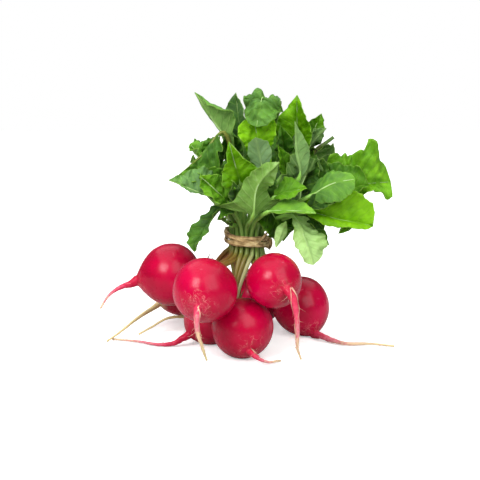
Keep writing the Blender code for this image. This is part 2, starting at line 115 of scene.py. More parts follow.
def grid(name, across, along, place, surfaces):  # a grid primitive, each vertex moved to place(s, t)
    bpy.ops.object.select_all(action="DESELECT")
    bpy.ops.mesh.primitive_grid_add(x_subdivisions=across, y_subdivisions=along, size=1)
    made = bpy.context.active_object
    made.name = made.data.name = name
    spots = [(v.co.x + 0.5, v.co.y + 0.5) for v in made.data.vertices]
    for vertex, (s, t) in zip(made.data.vertices, spots):
        vertex.co = place(s, t)
    for surface in surfaces:
        made.data.materials.append(surface)
    return made, spots


def setPlaces(made, name, values):  # a vector for each vertex, which the material reads
    made.data.attributes.new(name, "FLOAT_VECTOR", "POINT")
    made.data.attributes[name].data.foreach_set("vector", [x for value in values for x in value])


def closeSeam(made):
    selectOnly(made)
    bpy.ops.object.mode_set(mode="EDIT")
    bpy.ops.mesh.select_all(action="SELECT")
    bpy.ops.mesh.remove_doubles(threshold=1e-6)
    bpy.ops.mesh.normals_make_consistent(inside=False)
    bpy.ops.object.mode_set(mode="OBJECT")


def framesAlong(line):  # direction and two cross directions at each point, without twist
    ways = tangents(line)
    side = ways[0].orthogonal().normalized()
    frames = []
    for way in ways:
        side = (side - way * side.dot(way)).normalized()
        frames.append((way, side, way.cross(side)))
    return frames


def tube(name, line, radii, sides, surface, shape=None, values=None, attribute="growth"):
    # a grid wrapped round a line and closed at both ends; shape(angle, index) swells it
    line = [line[0], *line, line[-1]]
    radii = [0, *radii, 0]
    frames = framesAlong([line[1] * 2 - line[2], *line[1:-1], line[-2] * 2 - line[-3]])
    last = len(line) - 1

    def place(s, t):
        i = round(t * last)
        angle = turn * (s % 1)
        radius = radii[i] * (shape(angle, min(max(i - 1, 0), last - 2)) if shape else 1)
        return line[i] + (frames[i][1] * math.cos(angle) + frames[i][2] * math.sin(angle)) * radius

    made, spots = grid(name, sides, last, place, [surface])
    if values:
        padded = [values[0], *values, values[-1]]
        setPlaces(made, attribute, [padded[round(t * last)] for s, t in spots])
    closeSeam(made)
    return made


def joined(parts, name):
    selectOnly(*parts)
    if len(parts) > 1:
        bpy.ops.object.join()
    parts[0].name = parts[0].data.name = name
    bpy.ops.object.shade_smooth()
    return parts[0]


def dress(made, slot=None, *nodes):  # finished piece: it rides on the bunch and stands for its nodes
    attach(made, "root")
    if nodes:
        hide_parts(*nodes)


# Camera, lights and floor, for an image of 480 by 480 pixels

studio = {
    "imageSide": 480,
    "sensor": 36.0,
    "target": (-0.0032, 0.008, 0.053),
    "distance": 0.70,
    "elevation": 12.0,
    "metresPerPixel": 0.00052,  # at the tie
    "sky": 0.14,
    "floorSide": 1.7,
    "shadowLift": 0.40,  # white that the camera sees added to the floor, so that its shadows are soft
    "floorShows": "#FAFAFA",
    "floorThrows": "#C4C4C4",
}

lamps = {
    # name: place, watts, width, height
    "key": ((-0.60, -0.80, 0.80), 12.5, 0.48, 0.56),
    "window": ((0.50, -0.85, 0.85), 11.5, 1.0, 1.1),
    "top": ((0.0, 0.30, 1.35), 24.0, 2.2, 2.2),
}


def makeStudio():
    elevation = math.radians(studio["elevation"])
    away = Vector((0, -math.cos(elevation), math.sin(elevation)))
    target = Vector(studio["target"])
    bpy.ops.object.camera_add(location=target + away * studio["distance"])
    camera = bpy.context.active_object
    camera.rotation_euler = (-away).to_track_quat("-Z", "Y").to_euler()
    camera.data.sensor_width = studio["sensor"]
    focalPixels = studio["distance"] / studio["metresPerPixel"]
    camera.data.lens = focalPixels / studio["imageSide"] * studio["sensor"]
    bpy.context.scene.camera = camera

    for name, (place, watts, width, height) in lamps.items():
        bpy.ops.object.light_add(type="AREA", location=place)
        lamp = bpy.context.active_object
        lamp.name = name
        lamp.rotation_euler = (target - Vector(place)).to_track_quat("-Z", "Y").to_euler()
        lamp.data.shape = "RECTANGLE"
        lamp.data.size = width
        lamp.data.size_y = height
        lamp.data.energy = watts

    world = bpy.data.worlds.new("studio")
    world.use_nodes = True
    tree = world.node_tree
    seen = add(tree, "LightPath")  # the backdrop itself is plain white
    strength = add(tree, "Mix", {0: seen.outputs["Is Camera Ray"], 2: studio["sky"], 3: 1.0})
    tree.links.new(strength.outputs[0], tree.nodes["Background"].inputs["Strength"])
    tree.nodes["Background"].inputs["Color"].default_value = (1, 1, 1, 1)
    bpy.context.scene.world = world
    bpy.context.scene.view_settings.view_transform = "Standard"

    bpy.ops.mesh.primitive_plane_add(size=studio["floorSide"])
    floor = bpy.context.active_object
    floor.name = "floor"
    # Matt white paint, flat and even
    paint, tree, shader, _ = newMaterial("mattWhitePaint")
    seen = add(tree, "LightPath")  # it throws less light back up than it shows
    onCamera = seen.outputs["Is Camera Ray"]
    white = add(tree, "Mix", {0: onCamera, 6: studio["floorThrows"], 7: studio["floorShows"]},
                data_type="RGBA")
    tree.links.new(white.outputs[2], shader.inputs["Base Color"])
    lift = add(tree, "Math", {0: onCamera, 1: studio["shadowLift"]}, operation="MULTIPLY")
    tree.links.new(lift.outputs[0], shader.inputs["Emission Strength"])
    shader.inputs["Emission Color"].default_value = (1, 1, 1, 1)
    shader.inputs["Roughness"].default_value = 0.9
    shader.inputs["Specular IOR Level"].default_value = 0.1
    floor.data.materials.append(paint)


makeStudio()
print("studio ready")


# The radishes' places and shapes, in millimetres from the table under the tie, as in the solids

tie = {
    "place": Vector((0.4 * mm, 8.0 * mm, 0)),
    "height": 54.0 * mm,
    "slope": 0.21,
    "bundle": 10.0 * mm,
    "straightHalf": 6.5 * mm,
    "rings": ((8.6 * mm, 19), (5.75 * mm, 13), (2.9 * mm, 6)),  # each ring's radius and stalks
    "knotAngle": math.radians(-8),
}

# Heading is from the crown to the foot of the root, taper shapes the lower half, tail is how thick
# the taproot starts, pale is how soon it turns cream, and route is where it goes
radishes = {
    "front": dict(
        centre=(-2.2, -33.3, 14.3), heading=(0.23, -0.82, -0.52), radius=15.6, length=30,
        taper=1.7, tail=0.8, pale=-0.15, hairs=9, strands=2,
        route=((4.2, -49.0, 4.6), (9.5, -48.0, 1.8), (16.5, -43.0, 0.9)),
    ),
    "front_left": dict(
        centre=(-21.0, -47.5, 37.4), heading=(-0.19, -0.93, -0.31), radius=15.9, length=31,
        taper=1.7, tail=0.95, pale=0.1, hairs=8, strands=4,
        route=(
            (-24.2, -66.5, 28.6), (-23.8, -66.8, 21.8), (-21.8, -65.2, 15.0),
            (-19.6, -62.5, 7.0),
        ),
    ),
    "front_right": dict(
        centre=(13.7, -38.5, 40.3), heading=(0.42, -0.9, -0.09), radius=13.7, length=27,
        taper=1.7, tail=1.1, pale=-0.1, hairs=26, strands=9,
        route=(
            (22.3, -54.6, 35.0), (23.8, -56.4, 27.0), (24.4, -56.8, 18.0), (24.2, -56.0, 11.5),
            (26.2, -55.0, 5.2),
        ),
    ),
    "right": dict(
        centre=(29.4, 10.0, 14.2), heading=(0.35, -0.60, -0.72), radius=15.0, length=33,
        taper=1.5, tail=1.1, pale=0.0, hairs=16, strands=2,
        route=(
            (38.0, -4.4, 2.9), (44.0, -9.8, 1.9), (51.0, -14.6, 1.4), (63.5, -14.6, 1.3),
            (76.0, -17.4, 0.8),
        ),
    ),
    "left": dict(
        centre=(-41.0, 3.0, 33.4), heading=(-0.97, -0.17, -0.13), radius=16.4, length=34,
        taper=1.3, tail=1.3, pale=-0.3, hairs=6,
        route=(
            (-60.6, -1.2, 29.8), (-66.0, -2.2, 28.2), (-72.0, -3.4, 24.2), (-76.6, -5.0, 17.4),
        ),
    ),
    "low_left": dict(
        centre=(-19.5, -8.5, 12.9), heading=(-0.75, -0.45, -0.48), radius=14.0, length=28,
        taper=1.6, tail=1.0, pale=-0.3, hairs=8,
        route=(
            (-33.6, -15.8, 4.2), (-38.0, -16.4, 1.9), (-45.5, -16.2, 1.3), (-56.0, -10.4, 1.2),
            (-70.6, -4.0, 0.8),
        ),
    ),
    "back": dict(
        centre=(4.5, 31.0, 14.0), heading=(-0.55, -0.05, -0.83), radius=15.5, length=31,
        taper=1.6, tail=0.75, pale=0.75, hairs=12,
        route=(
            (-9.5, 27.5, 2.1), (-20.0, 19.5, 3.0), (-33.0, 12.4, 8.2), (-42.5, 9.6, 8.2),
            (-50.5, 7.0, 4.2), (-57.3, 4.4, 0.9),
        ),
    ),
    "back_left": dict(
        centre=(-36.0, 32.5, 18.5), heading=(-0.75, -0.45, -0.40), radius=15.0, length=30,
        taper=1.6, tail=0.8, pale=0.75, hairs=12,
        route=(
            (-50.2, 21.6, 11.0), (-55.2, 14.6, 9.4), (-61.0, 6.6, 6.8), (-67.2, -1.4, 3.4),
            (-73.0, -8.8, 0.9),
        ),
    ),
}


def inMetres(values):
    return Vector(values) * mm


def headingOf(spec):
    return Vector(spec["heading"]).normalized()


def crownOf(spec):
    return inMetres(spec["centre"]) - headingOf(spec) * spec["length"] * mm / 2


# Radish skin: smooth, thin and waxy over wet flesh, so it shines softly and glows pink where it thins

skinLook = {
    "blotches": ((0.25, "#980028"), (0.50, "#B60034"), (0.75, "#CC0044")),
    # the shoulder colour is painted shade on the top of the bulb, under the leaves
    "shoulder": "#84001A",
    "scratch": "#F08FA0",
    "scar": "#7E3A2A",
    "crack": "#F0A8A0",
    "crown": "#5E1A1C",
    "taproot": (
        (0.05, "#B80F38"), (0.28, "#D23C5C"), (0.48, "#D8808A"), (0.62, "#E0BE9C"), (0.9, "#DACA92")),
    # Pattern scales for coordinates in metres, with the real sizes that they give
    "blotchScale": 45,  # 22 mm
    "scarScale": 420,  # 2.4 mm
    "crackScale": 240,  # 4 mm from one crack to the next
    "ringScale": 700,  # 1.4 mm
    "bloomScale": 160,  # 6 mm
    "poreScale": 900,  # 1.1 mm
    "crackHalf": 0.022,  # share of the noise's height, which draws a crack about 0.3 mm wide
}


def makeSkinMaterial():
    made, tree, shader, _ = newMaterial("waxyRadishSkin")
    growth = add(tree, "Attribute", attribute_name="growth")
    split = add(tree, "SeparateXYZ", {0: growth.outputs["Vector"]})
    share, pale = split.outputs[0], split.outputs[1]
    coord = add(tree, "TexCoord")
    inSpace = coord.outputs["Object"]

    # Broad deeper and brighter blotches, and painted shade that darkens the shoulder, where the leaves
    # above shade it
    blotch = add(tree, "TexNoise", {
        "Vector": inSpace, "Scale": skinLook["blotchScale"], "Detail": 2, "Roughness": 0.5})
    blotched = add(tree, "ValToRGB", {0: blotch}, ramp=skinLook["blotches"])
    shadedTop = add(tree, "MapRange", {0: share, 1: 0.12, 2: 0.5, 3: 0.7, 4: 0.0})
    red = add(tree, "Mix", {0: shadedTop, 6: blotched, 7: skinLook["shoulder"]}, data_type="RGBA")

    # Fine pale scratches, 8 to 12 mm long round the bulb and under 0.5 mm wide
    stretch = add(tree, "Mapping", {"Vector": coord.outputs["UV"], "Scale": (9, 60, 1)})
    scratch = add(tree, "TexNoise", {"Vector": stretch, "Scale": 1.0, "Detail": 4, "Distortion": 0.6})
    scratchMask = add(tree, "MapRange", {0: scratch, 1: 0.66, 2: 0.74, 3: 0.0, 4: 0.25})
    marked = add(tree, "Mix", {0: scratchMask, 6: red, 7: skinLook["scratch"]}, data_type="RGBA")

    # Brown scars and thin wandering cracks round the foot of the root, and a dull ring at the crown
    scarNoise = add(tree, "TexNoise", {"Vector": inSpace, "Scale": skinLook["scarScale"], "Detail": 4})
    nearRoot = add(tree, "MapRange", {0: share, 1: 0.93, 2: 1.0, 3: 0.0, 4: 0.75})
    pastRoot = add(tree, "MapRange", {0: share, 1: 1.0, 2: 1.12, 3: 1.0, 4: 0.0})
    rootRing = add(tree, "Math", {0: nearRoot, 1: pastRoot}, operation="MULTIPLY")
    scarCut = add(tree, "MapRange", {0: scarNoise, 1: 0.47, 2: 0.60, 3: 0.0, 4: 1.0})
    scar = add(tree, "Math", {0: rootRing, 1: scarCut}, operation="MULTIPLY")
    browned = add(tree, "Mix", {0: scar, 6: marked, 7: skinLook["scar"]}, data_type="RGBA")
    crack = add(tree, "TexNoise", {
        "Vector": inSpace, "Scale": skinLook["crackScale"], "Detail": 3, "Distortion": 1.2})
    crackOff = add(tree, "Math", {0: crack, 1: 0.5}, operation="SUBTRACT")
    crackFrom = add(tree, "Math", {0: crackOff}, operation="ABSOLUTE")
    crackLine = add(tree, "MapRange", {0: crackFrom, 1: 0.0, 2: skinLook["crackHalf"], 3: 1.0, 4: 0.0})
    crackZone = add(tree, "MapRange", {0: share, 1: 0.86, 2: 0.98, 3: 0.0, 4: 1.0})
    crackCut = add(tree, "MapRange", {0: blotch, 1: 0.40, 2: 0.52, 3: 0.0, 4: 0.8})
    crackHere = add(tree, "Math", {0: crackZone, 1: crackCut}, operation="MULTIPLY")
    cracked = add(tree, "Math", {0: crackLine, 1: crackHere}, operation="MULTIPLY")
    scarred = add(tree, "Mix", {0: cracked, 6: browned, 7: skinLook["crack"]}, data_type="RGBA")
    crownMask = add(tree, "MapRange", {0: share, 1: 0.015, 2: 0.09, 3: 0.85, 4: 0.0})
    crowned = add(tree, "Mix", {0: crownMask, 6: scarred, 7: skinLook["crown"]}, data_type="RGBA")

    # Taproot: pink, then cream, with uneven borders
    rings = add(tree, "TexNoise", {"Vector": inSpace, "Scale": skinLook["ringScale"], "Detail": 3})
    along = add(tree, "Math", {0: share, 1: pale}, operation="ADD")
    worn = add(tree, "Math", {0: rings, 1: 0.5, 2: -0.25}, operation="MULTIPLY_ADD")
    tailPlace = add(tree, "Math", {0: along, 1: worn}, operation="ADD")
    tailScaled = add(tree, "MapRange", {0: tailPlace, 1: 0.9, 2: 2.1, 3: 0.0, 4: 1.0})
    tail = add(tree, "ValToRGB", {0: tailScaled}, ramp=skinLook["taproot"])
    onTail = add(tree, "MapRange", {0: share, 1: 0.94, 2: 1.03, 3: 0.0, 4: 1.0})
    colour = add(tree, "Mix", {0: onTail, 6: crowned, 7: tail}, data_type="RGBA")
    tree.links.new(colour.outputs[2], shader.inputs["Base Color"])

    bloom = add(tree, "TexNoise", {"Vector": inSpace, "Scale": skinLook["bloomScale"], "Detail": 3})
    rough = add(tree, "MapRange", {0: bloom, 1: 0.3, 2: 0.75, 3: 0.2, 4: 0.36})
    roughTail = add(tree, "Math", {0: onTail, 1: 0.3, 2: rough}, operation="MULTIPLY_ADD")
    tree.links.new(roughTail.outputs[0], shader.inputs["Roughness"])

    fine = add(tree, "TexNoise", {"Vector": inSpace, "Scale": skinLook["poreScale"], "Detail": 3})
    height = add(tree, "Math", {0: fine, 1: scratchMask}, operation="SUBTRACT")
    bump = add(tree, "Bump", {"Height": height, "Strength": 0.35, "Distance": 0.00012})
    tree.links.new(bump.outputs[0], shader.inputs["Normal"])
    shader.inputs["IOR"].default_value = 1.45
    shader.inputs["Specular IOR Level"].default_value = 0.19
    shader.inputs["Coat Weight"].default_value = 0.12
    shader.inputs["Coat Roughness"].default_value = 0.2
    shader.inputs["Subsurface Weight"].default_value = 0.05
    shader.inputs["Subsurface Radius"].default_value = (1.0, 0.1, 0.1)
    shader.inputs["Subsurface Scale"].default_value = 0.0015
    return made


# Root hair: dry, thread-like roots from salmon to cream, with no shine

hairLook = {
    "shades": ((0.3, "#B4806A"), (0.5, "#DEAF98"), (0.7, "#F0D4B8")),
    "shadeScale": 260,  # shades change about every 4 mm
    "roughness": 0.75,
}


def makeHairMaterial():
    made, tree, shader, _ = newMaterial("creamRootHair")
    coord = add(tree, "TexCoord")
    shade = add(tree, "TexNoise", {
        "Vector": coord.outputs["Object"], "Scale": hairLook["shadeScale"], "Detail": 2})
    colour = add(tree, "ValToRGB", {0: shade}, ramp=hairLook["shades"])
    tree.links.new(colour.outputs[0], shader.inputs["Base Color"])
    shader.inputs["Roughness"].default_value = hairLook["roughness"]
    return made


bulb = {
    "crownRadius": 5.2 * mm,
    "widest": 0.46,  # share of its length from the crown
    "shoulder": 2.3,  # how square it is above that
    "end": 2.1,  # and below
    "sides": 72,
    "steps": 44,
    "tailSteps": 10,  # from each point of its route to the next
    "tail": 2.2 * mm,
    "tailTip": 0.5 * mm,
    "tailTaper": 1.7,
    "lobe": 0.012,  # shares of the radius
    "relief": 0.010,
    "reliefSize": 9 * mm,
    "wrinkle": 0.13,
    "wrinkleSize": 1.6 * mm,
    "wrinkleTurns": 0.8,
    "phaseStep": 1.7,  # it sets the lobes of one bulb off from the next one's
}

rootlet = {
    "count": 3,
    "radius": 0.27 * mm,
    "ofRoot": 0.42,  # but no more than this share of the root's own radius
    "taper": 0.85,
    "lengths": (3.5, 6.0),
    "lean": 0.9,  # how far it leans along the root
    "follow": 0.4,  # how far its end bends the root's way
    "bow": 0.12,
    "sunk": 0.8 * mm,
    "paler": 0.12,
    "sides": 6,
    "steps": 4,
    "coarseBulb": 8,
    "coarseTail": 2,
}

hair = {
    "radii": (0.06, 0.11),
    "lengths": (2.0, 5.0),
    "lean": (0.4, 1.6),
    "steps": 4,
    "sides": 3,
    "bend": 0.5,
    "taper": 0.6,
    "startShare": 0.6,  # of the root's radius
    "clear": 0.3 * mm,  # a hair that would go through the table turns along it at this height
    "lowest": 0.1 * mm,
}

strand = {
    "radius": 0.17 * mm,
    "taper": 0.6,
    "sides": 5,
    "spacing": 5,  # points of the root from one of its points to the next
    "steps": 3,
    "swing": 1.5,
    "wave": 0.13,
    "standOff": (-0.2, 0.5),
}


def bulbRadius(spec, share):
    radius = spec["radius"] * mm
    if share < bulb["widest"]:
        rise = 1 - ((bulb["widest"] - share) / bulb["widest"]) ** bulb["shoulder"]
        return max(radius * rise**0.5, bulb["crownRadius"])
    fall = 1 - ((share - bulb["widest"]) / (1 - bulb["widest"])) ** bulb["end"]
    return radius * max(fall, 0) ** (1 / spec["taper"])


def bulbLine(spec, bulbSteps, tailSteps):  # its line, radii and growth shares: 0 crown, 1 foot, 2 tip
    crown = crownOf(spec)
    end = crown + headingOf(spec) * spec["length"] * mm
    tail = bulb["tail"] * spec["tail"]
    shares = [0.5 - 0.5 * math.cos(math.pi * k / bulbSteps) for k in range(bulbSteps)]
    line = [crown.lerp(end, share) for share in shares]
    radii = [math.hypot(bulbRadius(spec, share), tail * share**3) for share in shares]
    route = smoothLine([end, *map(inMetres, spec["route"])], [tailSteps] * len(spec["route"]))
    for index, point in enumerate(route):
        gone = index / (len(route) - 1)
        line.append(point)
        radii.append(bulb["tailTip"] + (tail - bulb["tailTip"]) * (1 - gone) ** bulb["tailTaper"])
        shares.append(1 + gone)
    return line, radii, shares


def makeRadish(name, spec, order, skin, fibre):
    line, radii, shares = bulbLine(spec, bulb["steps"], bulb["tailSteps"])
    middle = tie["place"]
    line = [point + middle for point in line]
    phase = bulb["phaseStep"] * order

    def swell(angle, i):  # soft lobes and dents on the bulb, wrinkles on the root
        share = shares[i]
        around = Vector((math.cos(angle), math.sin(angle), phase))
        if share < 1:
            full = math.sin(math.pi * share)
            soft = noise.noise(around * radii[i] / bulb["reliefSize"] + line[i] / bulb["reliefSize"])
            return 1 + (bulb["lobe"] * math.sin(3 * angle + phase) + bulb["relief"] * soft) * full
        rough = noise.noise(around * bulb["wrinkleTurns"] + line[i] / bulb["wrinkleSize"])
        return 1 + bulb["wrinkle"] * rough

    values = [(share, spec["pale"], 0) for share in shares]
    body = tube("bulb", line, radii, bulb["sides"], skin, swell, values)
    for vertex in body.data.vertices:  # it stands flat on the table
        vertex.co.z = max(vertex.co.z, 0)
    whole = joined([body, *makeRootlets(spec, order, skin)], "radish_skin_" + name)
    dress(whole, "radish_skin", "radish_" + name)
    dress(joined(makeHairs(spec, order, line, radii, fibre), "root_hairs_" + name))


def makeRootlets(spec, order, skin):
    coarse, radii, shares = bulbLine(spec, rootlet["coarseBulb"], rootlet["coarseTail"])
    draw = random.Random(10 + order)
    ways = tangents(coarse)
    made = []
    for _ in range(rootlet["count"]):
        at = draw.randrange(rootlet["coarseBulb"] + 1, len(coarse) - 2)
        way = Matrix.Rotation(draw.uniform(0, turn), 3, ways[at]) @ ways[at].orthogonal().normalized()
        way = (way + ways[at] * rootlet["lean"]).normalized()
        way.z = max(way.z, 0)
        length = draw.uniform(*rootlet["lengths"]) * mm
        start = coarse[at] + tie["place"]
        end = start + way * length * (1 - rootlet["follow"]) + ways[at] * length * rootlet["follow"]
        bow = way.cross(ways[at]) * length * rootlet["bow"]
        out = start + way * length * 0.3 + bow
        route = [start - way * rootlet["sunk"], out, start.lerp(end, 0.7) - bow, end]
        route = smoothLine(route, [rootlet["steps"]] * 3)
        last = len(route) - 1
        radius = min(rootlet["radius"], radii[at] * rootlet["ofRoot"])
        thin = [radius * (1 - rootlet["taper"] * k / last) for k in range(last + 1)]
        values = [(shares[at], spec["pale"] + rootlet["paler"], 0)] * len(route)
        made.append(tube("rootlet", route, thin, rootlet["sides"], skin, None, values))
    return made


def makeHairs(spec, order, line, radii, fibre):  # fine hairs, and loose strands that wind along the root
    draw = random.Random(200 + order)
    first = bulb["steps"]
    ways = framesAlong(line)
    made = []
    for _ in range(spec["hairs"]):
        at = first + int((len(line) - first - 2) * draw.random())
        way, side, other = ways[at]
        angle = draw.uniform(0, turn)
        out = side * math.cos(angle) + other * math.sin(angle)
        start = line[at] + out * radii[at] * hair["startShare"]
        lean = (out + way * draw.uniform(*hair["lean"])).normalized()
        length = draw.uniform(*hair["lengths"]) * mm
        if start.z + lean.z * length < hair["clear"]:
            lean.z = max((hair["clear"] - start.z) / length, 0)
            lean.normalize()
        radius = draw.uniform(*hair["radii"]) * mm
        aside = Matrix.Rotation(draw.uniform(0, turn), 3, lean) @ lean.orthogonal().normalized()
        steps = [k / hair["steps"] for k in range(hair["steps"] + 1)]
        points = [start + (lean * t + aside * hair["bend"] * t * t) * length for t in steps]
        thin = [radius * (1 - hair["taper"] * t) for t in steps]
        made.append(tube("hair", points, thin, hair["sides"], fibre))
    for _ in range(spec.get("strands", 0)):
        phase, points = draw.uniform(0, turn), []
        for at in range(first + draw.randrange(3), len(line) - 3, strand["spacing"]):
            way, side, other = ways[at]
            angle = phase + strand["swing"] * math.sin(at * strand["wave"] + phase)
            out = side * math.cos(angle) + other * math.sin(angle)
            points.append(line[at] + out * (radii[at] + draw.uniform(*strand["standOff"]) * mm))
        route = smoothLine(points, [strand["steps"]] * (len(points) - 1))
        last = len(route) - 1
        thin = [strand["radius"] * (1 - strand["taper"] * k / last) for k in range(last + 1)]
        made.append(tube("strand", route, thin, strand["sides"], fibre))
    for each in made:  # none of them goes through the table
        for vertex in each.data.vertices:
            vertex.co.z = max(vertex.co.z, hair["lowest"])
    return made


def makeRadishes():
    skin = makeSkinMaterial()
    fibre = makeHairMaterial()
    for order, (name, spec) in enumerate(radishes.items()):
        makeRadish(name, spec, order, skin, fibre)


makeRadishes()
print("radishes made")


# The leaves in millimetres, each with its base, tip, the way its upper side faces, width, arch, fold
# in degrees, tone from dark to lime, paleness, outline, shares of the two halves' widths, crumple,
# how far the two edges curl in degrees, sideways bow, teeth, and how thick its rib is

